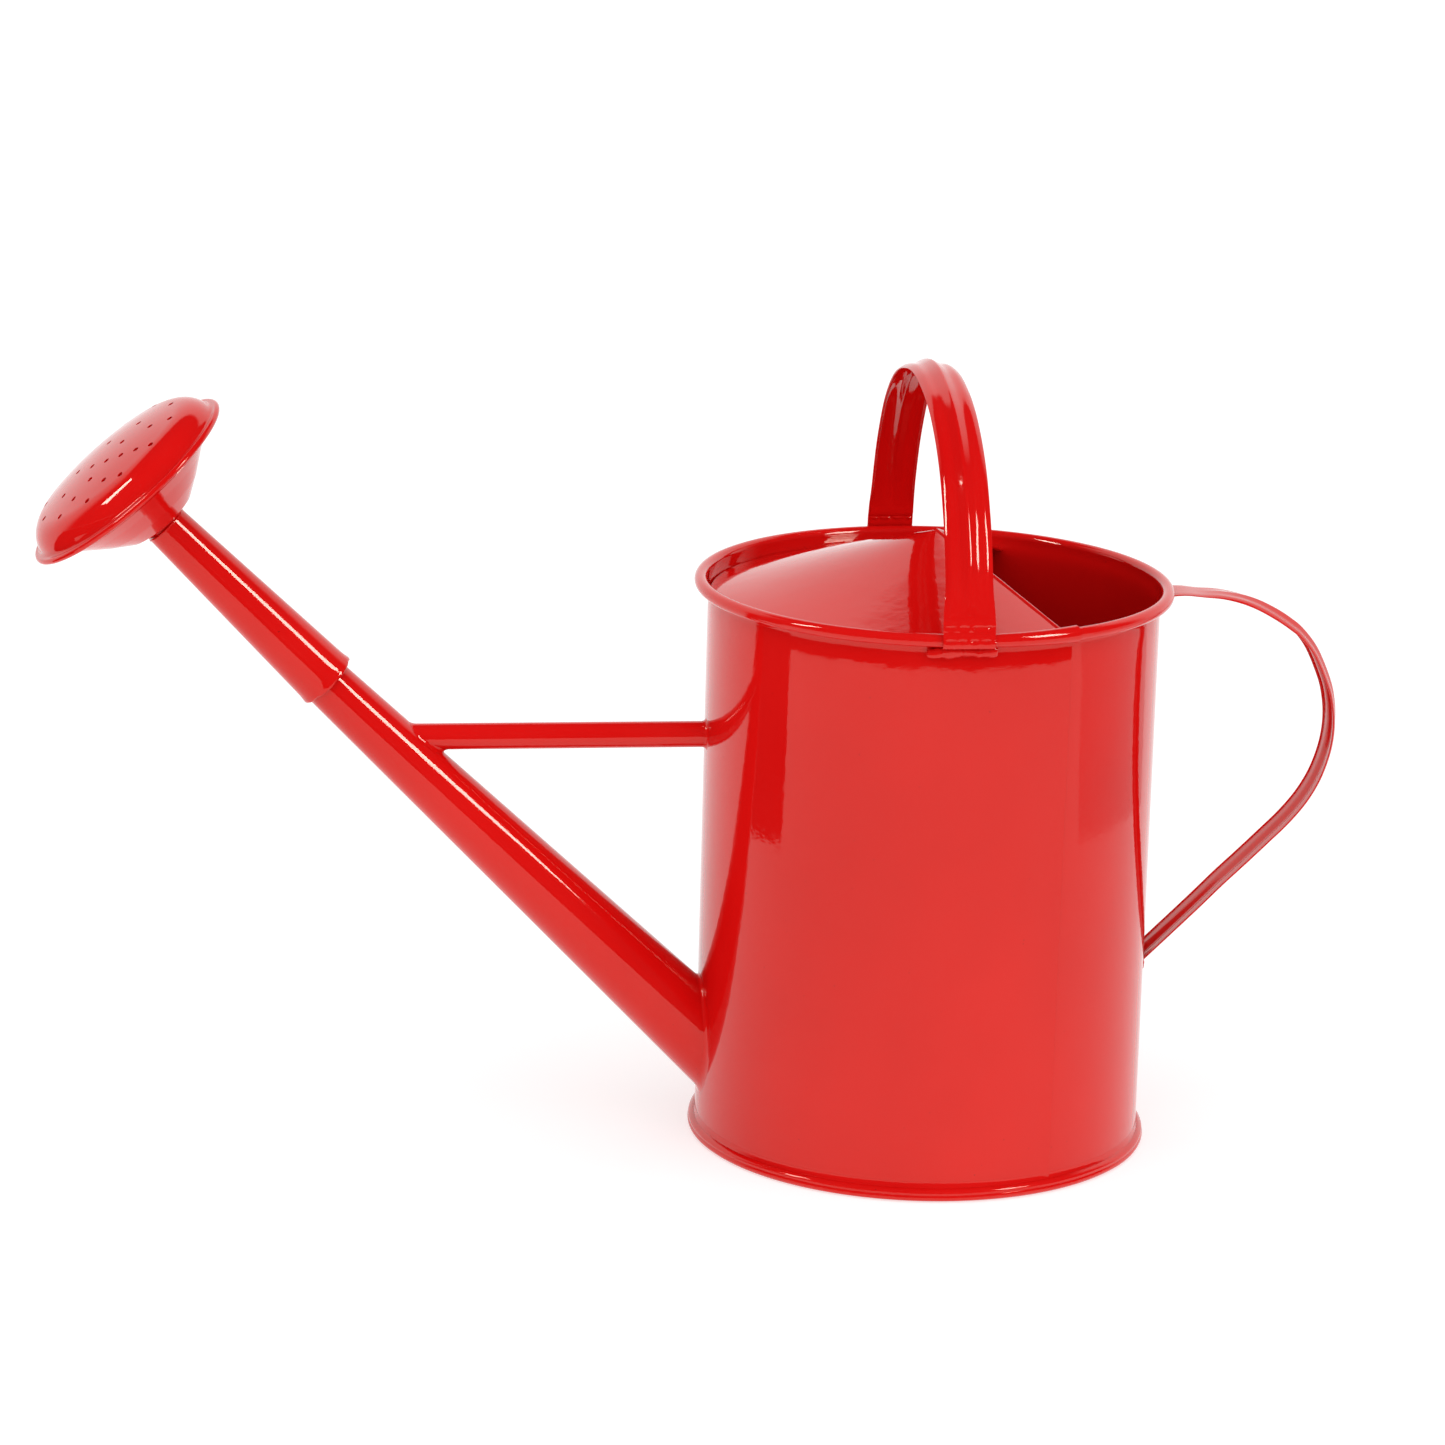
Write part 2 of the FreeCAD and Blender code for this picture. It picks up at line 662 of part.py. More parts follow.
def halfbox(name, x, y, z, lx, ly, lz):
    return prim("Box", name, FreeCAD.Placement(V(x, y, z), FreeCAD.Rotation()),
                Length=lx, Width=ly, Height=lz)


# keep only what lies above and inboard of the spout
brace_zone = halfbox("brace_zone", -235.0, -20.0, 120.0, 160.0, 40.0, 90.0)
spout_tool = spout_solid("brace_spout_tool", gap)
wall_tool2 = prim("Cylinder", "brace_wall_tool", Radius=R + gap, Height=260.0)
brace_all = cut("brace_cut", rod, fuse("brace_tools", [spout_tool, wall_tool2]))


def pick_piece(name, src, point):
    """The solid of src nearest to a point, as a sliced feature."""
    best = None
    for sol in src.Shape.Solids:
        dd = sol.CenterOfMass.sub(point).Length
        if best is None or dd < best[0]:
            best = (dd, sol)
    f = doc.addObject("Part::Feature", name)
    f.Shape = best[1].copy()
    return f


# -------------------------------------------------------------- neck sleeve
b = body("rose_neck_sleeve")
s = new_sketch(b, "sleeve_profile")
lip = 1.0


def sleeve_r(z):
    return NRAD - NTP * z


profile(s, [
    (sleeve_r(NF) - T, NF + 0.9, 0.62, 1),
    (sleeve_r(NF) + 0.12, NF + 0.9),
    (sleeve_r(NF + 3.0), NF + 3.0),
    (sleeve_r(NT), NT),
    (sleeve_r(NT) - T, NT),
])
revolve(b, s, "sleeve_turn")
place_neck(b)
keep(b, "rose_neck_sleeve")

# neck solder: a thin ring on the sleeve's top end
b = body("rose_neck_weld")
s = new_sketch(b, "neck_weld_profile")
profile(s, [
    (sleeve_r(NT) - T + 0.1, NT + gap),
    (sleeve_r(NT) + 0.35, NT + gap, 0.5, 1),
    (sleeve_r(NT) - 0.05, NT + 0.62),
    (sleeve_r(NT) - T + 0.1, NT + 0.62),
])
revolve(b, s, "neck_weld_turn")
place_neck(b)
keep(b, "rose_neck_weld")

# ---------------------------------------------------------------- rose back
FA, FR, FT = S("flange_at"), S("flange_rad"), S("flange_tube")
RTK = S("rose_thk")
b = body("rose_bowl_body")
s = new_sketch(b, "bowl_profile")
fl_under = FA - FT - 0.05
profile(s, [
    (S("spigot_rad") - RTK, 2.05),
    (S("spigot_rad") + 0.4, 2.02),
    (11.6, 2.2),
    (15.4, 3.6),
    (23.2, 9.1),
    (31.0, 15.4),
    (38.6, fl_under - 0.9),
    (42.2, fl_under - 0.9),
    (42.2, fl_under),
    (38.0, fl_under),
    (30.3, 16.1),
    (22.5, 9.8),
    (14.8, 4.4),
    (11.2, 2.75),
    (S("spigot_rad") - RTK, 2.75),
])
revolve(b, s, "bowl_turn")
place_rose(b)
bowl = b
spig = prim("Cylinder", "spigot_out", Radius=S("spigot_rad"),
            Height=S("spigot_long") + 3.0)
spig.Placement = FreeCAD.Placement(
    neck_base.add(FreeCAD.Vector(neck_dir).multiply(
        NT.v - S("spigot_long").v)), neck_rot)
move(spig, S("neck_x") - (NT - S("spigot_long")) * cos(S("neck_ang")), 0,
     S("neck_z") + (NT - S("spigot_long")) * sin(S("neck_ang")))
bore = prim("Cylinder", "spigot_bore", Radius=S("spigot_rad") - RTK,
            Height=S("spigot_long") + 14.0)
bore.Placement = FreeCAD.Placement(
    neck_base.add(FreeCAD.Vector(neck_dir).multiply(
        NT.v - S("spigot_long").v - 1.0)), neck_rot)
move(bore, S("neck_x") - (NT - S("spigot_long") - 1.0) * cos(S("neck_ang")), 0,
     S("neck_z") + (NT - S("spigot_long") - 1.0) * sin(S("neck_ang")))
rose_back = cut("rose_back", fuse("rose_back_sum", [bowl, spig]), bore)
keep(rose_back, "rose_back")

# ---------------------------------------------------------------- rose face
b = body("rose_face")
s = new_sketch(b, "face_profile")
FH, FS, FDR, SHR = S("face_high"), S("face_sphere"), S("face_rad"), S("shoulder_rad")
cap_z = FS - sqrt(FS * FS - SHR * SHR)
top_z = FA + FH
sh_z = top_z - cap_z
profile(s, [
    (0.0, top_z - RTK, FS - RTK, -1),
    (SHR - 0.18, sh_z - RTK + 0.02, 11.2, -1),
    (FDR - RTK, FA + 1.9),
    (FDR - RTK, FA - FT),
    (FR - FT, FA - FT, FT, 1, False),
    (FR, FA, FT, 1, False),
    (FR - FT, FA + FT),
    (FDR, FA + 2.1, 12.0, 1),
    (SHR, sh_z, FS, 1),
    (0.0, top_z),
])
revolve(b, s, "face_turn")
hs = new_sketch(b, "hole_pattern", "XY_Plane",
                FreeCAD.Placement(V(0, 0, top_z.v + 2.0), FreeCAD.Rotation()))
hs.setExpression("AttachmentOffset.Base.z", (top_z + 2.0).e)
for i, (hu, hv) in enumerate(HOLES):
    g = hs.addGeometry(Part.Circle(V(hu, hv, 0), V(0, 0, 1),
                                   S("hole_rad").v), False)
    bind(hs, "DistanceX", g, 3, S("hole_u_" + LETTERS[i] + "x"))
    bind(hs, "DistanceY", g, 3, S("hole_v_" + LETTERS[i] + "x"))
    bind(hs, "Radius", g, 0, S("hole_rad"))
pk = b.newObject("PartDesign::Pocket", "rose_holes")
pk.Profile = hs
pk.Type = "Length"
pk.Length = 14.0
hs.Visibility = False
place_rose(b)
keep(b, "rose_face")

# -------------------------------------------------------------- solder beads
WW = S("weld_wide")


def ring_shell(name, thick):
    """Thin shell of solder lying on the outside of the wall."""
    a = prim("Cylinder", name + "_out", Radius=R + gap + thick, Height=228.0)
    c = prim("Cylinder", name + "_in", Radius=R + gap, Height=230.0)
    return cut(name, a, c)


# spout root
sp_w = cut("root_weld_a", common("root_weld_b", [
    ring_shell("root_ring", 1.4), spout_solid("root_grow", WW),
    halfbox("root_zone", -110.0, -30.0, 8.0, 40.0, 60.0, 80.0)]),
    spout_solid("root_less", gap))
keep(sp_w, "spout_root_weld")

# brace to body
bw_out = prim("Cylinder", "bw_out", FreeCAD.Placement(V(-80, 0, BZZ.v), rot_x),
              Radius=BRR + WW, Height=20.0)
bw_out.setExpression("Placement.Base.z", "P.brace_z")
bw_in = prim("Cylinder", "bw_in", FreeCAD.Placement(V(-80, 0, BZZ.v), rot_x),
             Radius=BRR + gap, Height=22.0)
bw_in.setExpression("Placement.Base.z", "P.brace_z")
bw = cut("brace_body_weld", common("bw_c", [ring_shell("bw_ring", 1.3), bw_out]),
         bw_in)
keep(bw, "brace_body_weld")

# brace to spout
bs_out = prim("Cylinder", "bs_out", FreeCAD.Placement(V(-170, 0, BZZ.v), rot_x),
              Radius=BRR + WW, Height=34.0)
bs_out.setExpression("Placement.Base.z", "P.brace_z")
bs_in = prim("Cylinder", "bs_in", FreeCAD.Placement(V(-160, 0, BZZ.v), rot_x),
             Radius=BRR + gap, Height=60.0)
bs_in.setExpression("Placement.Base.z", "P.brace_z")
bs = cut("bs_a", common("bs_c", [spout_solid("bs_grow", gap + 1.3), bs_out]),
         fuse("bs_tools", [bs_in, spout_solid("bs_less", gap)]))

# rear handle, lower end
tw = S("top_wide")
diag = FreeCAD.Rotation(V(0, 1, 0), -(90.0 - RA.v))
lw_out = prim("Box", "lw_out", Length=40.0, Width=tw + 3.0, Height=6.6)
lw_in = prim("Box", "lw_in", Length=40.0, Width=tw + gap * 2.0 + 0.2, Height=5.1)


def diag_place(o, width, low):
    """Centre a box on the lower leg of the rear handle."""
    ux = V(math.sin(math.radians(RA.v)), 0, math.cos(math.radians(RA.v)))
    nz = V(-ux.z, 0, ux.x)
    p = V(e3[0].v, 0, e3[1].v).sub(FreeCAD.Vector(ux).multiply(8.0))
    p = p.add(V(0, -width / 2.0, 0)).add(FreeCAD.Vector(nz).multiply(low))
    o.Placement = FreeCAD.Placement(p, FreeCAD.Rotation(ux, V(0, 1, 0), nz, "ZXY"))


diag_place(lw_out, tw.v + 3.0, -3.1)
diag_place(lw_in, tw.v + gap.v * 2.0 + 0.2, -2.35)
lw = cut("rear_handle_lower_weld",
         common("lw_c", [ring_shell("lw_ring", 1.2), lw_out]), lw_in)
keep(lw, "rear_handle_lower_weld")

# rear handle, upper end: a low bead under the strap
uw_c = common("uw_c", [ring_shell("uw_ring", 2.2), halfbox(
    "uw_zone", 80.0, -8.0, 217.5, 20.0, 16.0, 4.0)])
uw = cut("uw_a", uw_c, can_tool)
keep(uw, "rear_handle_upper_weld")

# top handle feet: lumpy beads under the rim roll
for sgn, tag in ((-1, "front"), (1, "rear")):
    e = doc.addObject("Part::Ellipsoid", "tw_" + tag)
    e.Radius1 = 2.9
    e.Radius2 = 13.0
    e.Radius3 = 2.6
    e.Placement = FreeCAD.Placement(V(S("top_x").v, sgn * 90.3, 221.2),
                                    FreeCAD.Rotation(V(0, 0, 1), 0))
    e.setExpression("Placement.Base.x", "P.top_x")
    e.setExpression("Placement.Base.y", "%d * (P.wall_rad + 0.3)" % sgn)
    e.setExpression("Placement.Base.z", "P.bead_z - 5.6")
    foot_clear = prim("Cylinder", "tw_foot_" + tag, FreeCAD.Placement(
        V(S("top_x").v - 14.0, sgn * BR.v, BZ.v),
        FreeCAD.Rotation(V(0, 0, 1), V(1, 0, 0))),
        Radius=hook_out + gap, Height=28.0)
    foot_clear.setExpression("Placement.Base.x", "P.top_x - 14")
    foot_clear.setExpression("Placement.Base.y", "%d * P.bead_rad" % sgn)
    foot_clear.setExpression("Placement.Base.z", "P.bead_z")
    c = cut("top_handle_%s_weld" % tag, e,
            fuse("tw_tools_" + tag, [can_tool, foot_clear]))
    keep(c, "top_handle_%s_weld" % tag)

doc.recompute()
brace = pick_piece("spout_brace", brace_all, V(-145.0, 0, BZZ.v))
keep(brace, "spout_brace")
bsw = pick_piece("brace_spout_weld", bs, V(-196.0, 0, BZZ.v))
keep(bsw, "brace_spout_weld")
doc.recompute()

# --------------------------------------------------------------- checks, out
for o in doc.Objects:
    bad = [x for x in o.State if "Invalid" in x or "Error" in x]
    if bad:
        raise RuntimeError("%s is %s" % (o.Name, bad))
for o, node in nodes:
    sh = o.Shape
    if sh.isNull() or not sh.isValid() or len(sh.Solids) < 1:
        raise RuntimeError("bad shape for %s (%d solids)" % (node, len(sh.Solids)))
    if len(sh.Solids) > 1:
        print("NOTE", node, "has", len(sh.Solids), "solids",
              [round(x.Volume, 1) for x in sh.Solids])
    bb = sh.BoundBox
    print("%-24s vol %9.1f  x %.1f..%.1f y %.1f..%.1f z %.1f..%.1f" % (
        node, sh.Volume, bb.XMin, bb.XMax, bb.YMin, bb.YMax, bb.ZMin, bb.ZMax))
for o, node in nodes:
    o.Shape.exportStep("parts/%s.step" % node)
print("wrote", len(nodes))
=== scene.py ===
import bpy
import bmesh
import math
import numpy as np
from mathutils import Matrix, Vector


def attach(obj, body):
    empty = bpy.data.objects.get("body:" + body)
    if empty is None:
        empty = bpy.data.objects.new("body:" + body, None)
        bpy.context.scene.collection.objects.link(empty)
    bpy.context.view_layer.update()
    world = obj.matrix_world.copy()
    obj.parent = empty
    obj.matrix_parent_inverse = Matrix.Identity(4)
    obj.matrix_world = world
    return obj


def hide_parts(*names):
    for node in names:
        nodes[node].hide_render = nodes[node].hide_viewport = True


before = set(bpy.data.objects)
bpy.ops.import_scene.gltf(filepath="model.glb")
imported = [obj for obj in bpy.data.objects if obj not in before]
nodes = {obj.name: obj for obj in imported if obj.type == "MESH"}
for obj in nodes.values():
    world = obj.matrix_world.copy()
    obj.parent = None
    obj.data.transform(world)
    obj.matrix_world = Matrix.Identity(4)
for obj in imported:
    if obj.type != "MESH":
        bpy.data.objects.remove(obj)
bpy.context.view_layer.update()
MM = 0.001
scene = bpy.context.scene
scene.view_settings.view_transform = "Standard"
scene.view_settings.look = "None"
scene.view_settings.exposure = 0.0
scene.view_settings.gamma = 1.0

# ------------------------------------------------------------------ dimensions
R = 90.0          # body wall
T = 0.9
BR, BZ, BT = 92.8, 226.8, 2.6
SEAM = math.radians(-60.0) - 0.063
TOPX = -2.6


def rad(a):
    return math.radians(a)


def wob(x, seed, waves, amp):
    """Smooth periodic waviness of x in turns."""
    r = np.random.RandomState(seed)
    out = np.zeros_like(np.asarray(x, float))
    for k in waves:
        out = out + math.sqrt(1.0 / k) * r.uniform(0.5, 1.0) * np.sin(
            2 * math.pi * (k * x + r.uniform(0, 1)))
    return out * amp / math.sqrt(len(waves))


def smooth(a, b, x):
    t = np.clip((np.asarray(x, float) - a) / (b - a), 0, 1)
    return t * t * (3 - 2 * t)


# ------------------------------------------------------------------- materials
def node(tree, kind, loc, **values):
    n = tree.nodes.new(kind)
    n.location = loc
    for k, v in values.items():
        n.inputs[k.replace("_", " ")].default_value = v
    return n


def enamel(name, wave=0.00022, wave_scale=16.0, peel=0.000022, worn=0.0,
           lumps=0.0, deep=1.0):
    """Gloss red enamel: slightly uneven coat over hand-worked sheet."""
    m = bpy.data.materials.new(name)
    m.use_nodes = True
    t = m.node_tree
    t.nodes.clear()
    out = node(t, "ShaderNodeOutputMaterial", (900, 0))
    p = node(t, "ShaderNodeBsdfPrincipled", (600, 0))
    t.links.new(p.outputs[0], out.inputs[0])
    p.inputs["IOR"].default_value = 1.48
    p.inputs["Coat Weight"].default_value = 0.0
    p.inputs["Specular Tint"].default_value = (1.0, 0.95, 0.80, 1.0)
    tc = node(t, "ShaderNodeTexCoord", (-1200, 0))
    obj = tc.outputs["Object"]

    def noise(scale, detail, rough, loc):
        n = node(t, "ShaderNodeTexNoise", loc, Scale=scale, Detail=detail,
                 Roughness=rough)
        t.links.new(obj, n.inputs["Vector"])
        return n.outputs["Fac"]

    # colour: thin and thick coat
    cloud = noise(9.0, 3.0, 0.55, (-900, 300))
    ramp = node(t, "ShaderNodeValToRGB", (-600, 300))
    ramp.color_ramp.elements[0].position = 0.30
    ramp.color_ramp.elements[0].color = (0.60 * deep, 0.0028, 0.0026, 1)
    ramp.color_ramp.elements[1].position = 0.72
    ramp.color_ramp.elements[1].color = (0.68 * deep, 0.0060, 0.0050, 1)
    t.links.new(cloud, ramp.inputs["Fac"])
    colour = ramp.outputs["Color"]
    # sparse dust nibs and pinholes in the coat
    speck = noise(620.0, 2.0, 0.5, (-900, 60))
    sr = node(t, "ShaderNodeValToRGB", (-600, 60))
    sr.color_ramp.elements[0].position = 0.765
    sr.color_ramp.elements[0].color = (0, 0, 0, 1)
    sr.color_ramp.elements[1].position = 0.80
    sr.color_ramp.elements[1].color = (1, 1, 1, 1)
    t.links.new(speck, sr.inputs["Fac"])
    mix = node(t, "ShaderNodeMix", (-250, 260))
    mix.data_type = "RGBA"
    mix.inputs["B"].default_value = (0.30, 0.004, 0.004, 1)
    for i in mix.inputs:
        if i.name == "B" and i.type == "RGBA":
            i.default_value = (0.30, 0.004, 0.004, 1)
    a_in = [i for i in mix.inputs if i.name == "A" and i.type == "RGBA"][0]
    t.links.new(sr.outputs["Color"], mix.inputs["Factor"])
    t.links.new(colour, a_in)
    res = [o for o in mix.outputs if o.type == "RGBA"][0]
    t.links.new(res, p.inputs["Base Color"])
    # gloss
    gl = noise(34.0, 4.0, 0.6, (-900, -160))
    mr = node(t, "ShaderNodeMapRange", (-600, -160))
    mr.inputs["From Min"].default_value = 0.35
    mr.inputs["From Max"].default_value = 0.75
    mr.inputs["To Min"].default_value = 0.035 + worn
    mr.inputs["To Max"].default_value = 0.085 + worn
    t.links.new(gl, mr.inputs["Value"])
    t.links.new(mr.outputs["Result"], p.inputs["Roughness"])
    # relief: sheet waviness, then orange peel, then nibs
    w = noise(wave_scale, 2.0, 0.45, (-900, -400))
    b1 = node(t, "ShaderNodeBump", (-300, -400), Strength=1.0, Distance=wave)
    t.links.new(w, b1.inputs["Height"])
    o = noise(330.0, 2.0, 0.5, (-900, -620))
    b2 = node(t, "ShaderNodeBump", (-80, -520), Strength=1.0, Distance=peel)
    t.links.new(o, b2.inputs["Height"])
    t.links.new(b1.outputs["Normal"], b2.inputs["Normal"])
    last = b2
    if lumps:
        g = noise(150.0, 3.0, 0.6, (-900, -840))
        b3 = node(t, "ShaderNodeBump", (120, -620), Strength=1.0,
                  Distance=lumps)
        t.links.new(g, b3.inputs["Height"])
        t.links.new(last.outputs["Normal"], b3.inputs["Normal"])
        last = b3
    t.links.new(last.outputs["Normal"], p.inputs["Normal"])
    return m


M_BODY = enamel("enamel_body")
M_PART = enamel("enamel_part", wave=0.00010, wave_scale=30.0)
M_STRAP = enamel("enamel_strap", wave=0.00008, wave_scale=60.0, peel=0.00002)
M_WELD = enamel("enamel_weld", wave=0.00025, wave_scale=120.0, lumps=0.00022)
M_ROSE = enamel("enamel_rose", wave=0.00010, wave_scale=45.0, peel=0.000018)


def steel(name):
    m = bpy.data.materials.new(name)
    m.use_nodes = True
    t = m.node_tree
    p = t.nodes["Principled BSDF"]
    p.inputs["Metallic"].default_value = 1.0
    tc = node(t, "ShaderNodeTexCoord", (-900, 0))
    n = node(t, "ShaderNodeTexNoise", (-700, 0), Scale=400.0, Detail=4.0)
    t.links.new(tc.outputs["Object"], n.inputs["Vector"])
    r = node(t, "ShaderNodeValToRGB", (-400, 0))
    r.color_ramp.elements[0].color = (0.38, 0.37, 0.36, 1)
    r.color_ramp.elements[1].color = (0.62, 0.62, 0.63, 1)
    t.links.new(n.outputs["Fac"], r.inputs["Fac"])
    t.links.new(r.outputs["Color"], p.inputs["Base Color"])
    mr = node(t, "ShaderNodeMapRange", (-400, -250))
    mr.inputs["To Min"].default_value = 0.25
    mr.inputs["To Max"].default_value = 0.5
    t.links.new(n.outputs["Fac"], mr.inputs["Value"])
    t.links.new(mr.outputs["Result"], p.inputs["Roughness"])
    return m


M_WIRE = steel("wire_steel")
MATS = {"body_shell": M_BODY, "base_plate": M_BODY, "splash_guard": M_BODY,
        "rim_wire": M_WIRE, "rose_face": M_ROSE, "rose_back": M_ROSE,
        "top_handle": M_STRAP, "rear_handle": M_STRAP}
for n, o in nodes.items():
    mat = MATS.get(n, M_WELD if n.endswith("_weld") else M_PART)
    if not o.data.materials:
        o.data.materials.append(mat)
    for i in range(len(o.data.materials)):
        o.data.materials[i] = mat
        if i < len(o.material_slots):
            o.material_slots[i].material = mat


# --------------------------------------------------------------- mesh building
def make(name, verts, faces, body, mat, stands_for=(), slot="enamel",
         sharp=38.0, scale=MM):
    me = bpy.data.meshes.new(name)
    v = np.asarray(verts, float) * scale
    me.from_pydata([tuple(p) for p in v], [], [tuple(f) for f in faces])
    me.validate()
    bm = bmesh.new()
    bm.from_mesh(me)
    bmesh.ops.remove_doubles(bm, verts=bm.verts, dist=1e-7)
    bmesh.ops.recalc_face_normals(bm, faces=bm.faces)
    bm.to_mesh(me)
    bm.free()
    me.polygons.foreach_set("use_smooth", [True] * len(me.polygons))
    me.set_sharp_from_angle(angle=rad(sharp))
    me.materials.append(mat)
    o = bpy.data.objects.new(name, me)
    scene.collection.objects.link(o)
    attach(o, body)
    if stands_for:
        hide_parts(*stands_for)
    return o


def grid_faces(nu, nv, wrap_u, wrap_v):
    f = []
    for i in range(nu if wrap_u else nu - 1):
        for j in range(nv if wrap_v else nv - 1):
            i2, j2 = (i + 1) % nu, (j + 1) % nv
            f.append((i * nv + j, i2 * nv + j, i2 * nv + j2, i * nv + j2))
    return f


def arc(cx, cy, r, a0, a1, n):
    return [(cx + r * math.cos(rad(a0 + (a1 - a0) * i / n)),
             cy + r * math.sin(rad(a0 + (a1 - a0) * i / n)))
            for i in range(n + 1)]


def loft(rings, closed=True, caps=True):
    """Verts and faces through rings of points (each a closed loop)."""
    rings = [np.asarray(r, float) for r in rings]
    nv = len(rings[0])
    verts = np.concatenate(rings)
    faces = grid_faces(len(rings), nv, False, closed)
    if caps:
        faces.append(tuple(range(nv - 1, -1, -1)))
        base = (len(rings) - 1) * nv
        faces.append(tuple(range(base, base + nv)))
    return verts, faces


def catmull(pts, per):
    """Points of a smooth line through pts."""
    p = np.asarray(pts, float)
    p = np.vstack([2 * p[0] - p[1], p, 2 * p[-1] - p[-2]])
    out = []
    for i in range(1, len(p) - 2):
        for k in range(per):
            t = k / per
            out.append(0.5 * ((2 * p[i]) + (p[i + 1] - p[i - 1]) * t
                              + (2 * p[i - 1] - 5 * p[i] + 4 * p[i + 1]
                                 - p[i + 2]) * t * t
                              + (3 * p[i] - p[i - 1] - 3 * p[i + 1]
                                 + p[i + 2]) * t ** 3))
    out.append(p[-2])
    return np.array(out)


# ------------------------------------------------------------------ can body
def seam_step(phi, reach, amount):
    """Radius gained where the sheet's outer end laps over itself."""
    d = (SEAM - phi + math.pi) % (2 * math.pi) - math.pi
    return np.where((d >= 0) & (d < reach), amount * (1 - d / reach) ** 1.5, 0)


def body_angles():
    a = np.linspace(0, 2 * math.pi, 361)[:-1] + SEAM
    a = np.concatenate([a[1:], [SEAM - 0.0006, SEAM + 0.0006,
                                SEAM - 0.004, SEAM + 0.004]])
    return np.sort(a % (2 * math.pi))


def build_body():
    phis = body_angles()
    outer = [(90.0, 2.45), (90.0, 6.0), (90.0, 30.0), (90.0, 60.0),
             (90.0, 90.0), (90.0, 120.0), (90.0, 150.0), (90.0, 175.0),
             (90.0, 190.0), (90.0, 200.0), (90.0, 206.0), (90.0, 210.0),
             (90.0, 213.0), (90.0, 215.5), (90.0, 217.5), (90.0, 219.2),
             (90.0, 220.6), (90.02, 221.8), (90.15, 222.9), (90.75, 223.9)]
    roll = arc(BR, BZ, BT, -118, 180, 26)
    inner = [(90.12, 225.2), (89.75, 223.6), (89.35, 221.8), (89.15, 219.5),
             (89.1, 216.0), (89.1, 190.0), (89.1, 150.0), (89.1, 100.0),
             (89.1, 50.0), (89.1, 10.0), (89.1, 2.45)]
    n_out, n_roll = len(outer), len(roll)
    prof = outer + roll + inner
    rings = []
    turns = phis / (2 * math.pi)
    w_low = wob(turns, 3, [3, 5, 7, 11], 0.10)
    w_top = wob(turns, 5, [4, 9, 13, 19, 29, 37, 53, 71], 0.62)
    w_roll = wob(turns, 9, [5, 9, 14, 22], 0.10)
    for k, phi in enumerate(phis):
        st_wall = float(seam_step(phi, rad(5.5), 0.45))
        st_roll = float(seam_step(phi, rad(24), 1.15))
        ring = []
        for i, (r, z) in enumerate(prof):
            if i < n_out:
                # the wall draws in a little under the roll, unevenly
                neck = -0.34 * float(smooth(215.5, 225.0, z))
                env = math.exp(-((z - 219.0) / 6.0) ** 2)
                dr = st_wall + neck + env * w_top[k] * 0.36
                dr += w_low[k] * smooth(20, 120, z) * (1 - smooth(190, 215, z))
                ring.append((r + dr, z))
            elif i < n_out + n_roll:
                ux, uz = (r - BR) / BT, (z - BZ) / BT
                g = st_roll + w_roll[k] * 0.5
                ring.append((r + ux * g * (0.6 if ux > 0 else 0.3),
                             z + uz * g * (0.8 if uz > 0 else 0.5)
                             + 0.12 * w_roll[k]))
            else:
                ring.append((r, z))
        rings.append([(p[0] * math.cos(phi), p[0] * math.sin(phi), p[1])
                      for p in ring])
    verts = np.array(rings).reshape(-1, 3)
    faces = grid_faces(len(rings), len(prof), True, True)
    return make("can_wall", verts, faces, "can", M_BODY, ("body_shell",),
                sharp=30)


def solid_cone(name, p, d, r0, r1, length, n=64):
    d = Vector(d).normalized()
    a = d.orthogonal().normalized()
    b = d.cross(a)
    rings = []
    for t, r in ((0, r0), (1, r1)):
        c = Vector(p) + d * (length * t)
        rings.append([tuple((c + a * (r * math.cos(2 * math.pi * i / n))
                             + b * (r * math.sin(2 * math.pi * i / n))) * MM)
                      for i in range(n)])
    v, f = loft(rings)
    me = bpy.data.meshes.new(name)
    me.from_pydata([tuple(x) for x in v], [], f)
    bm = bmesh.new()
    bm.from_mesh(me)
    bmesh.ops.recalc_face_normals(bm, faces=bm.faces)
    bm.to_mesh(me)
    bm.free()
    o = bpy.data.objects.new(name, me)
    scene.collection.objects.link(o)
    return o


def carve(o, tool, sharp=30):
    """Cuts tool out of o's mesh for good."""
    m = o.modifiers.new("cut", "BOOLEAN")
    m.operation = "DIFFERENCE"
    m.solver = "EXACT"
    m.object = tool
    dg = bpy.context.evaluated_depsgraph_get()
    new = bpy.data.meshes.new_from_object(o.evaluated_get(dg))
    o.modifiers.clear()
    old = o.data
    o.data = new
    bpy.data.meshes.remove(old)
    new.polygons.foreach_set("use_smooth", [True] * len(new.polygons))
    new.set_sharp_from_angle(angle=rad(sharp))
    bpy.data.objects.remove(tool)


SP_D = Vector((-math.cos(rad(44.15)), 0, math.sin(rad(44.15))))
SP_P = Vector((-88.73, 0, 40.64))
NK_D = Vector((-math.cos(rad(45.01)), 0, math.sin(rad(45.01))))
NK_P = Vector((-99.95, 0, 48.30))
can_wall = build_body()
tool = solid_cone("tool_bore", SP_P - SP_D * 30, SP_D, 16.58 - 0.9 + 0.96,
                  16.58 - 0.9 - 0.96, 60)
carve(can_wall, tool)


def lathe(name, prof, phis, body, mat, stands_for, warp=None, **kw):
    rings = []
    for phi in phis:
        ring = []
        for r, z in prof:
            if warp:
                r, z = warp(phi, r, z)
            ring.append((r * math.cos(phi), r * math.sin(phi), z))
        rings.append(ring)
    verts = np.array(rings).reshape(-1, 3)
    faces = grid_faces(len(phis), len(prof), True, True)
    return make(name, verts, faces, body, mat, stands_for, **kw)


PHI = np.linspace(0, 2 * math.pi, 361)[:-1]


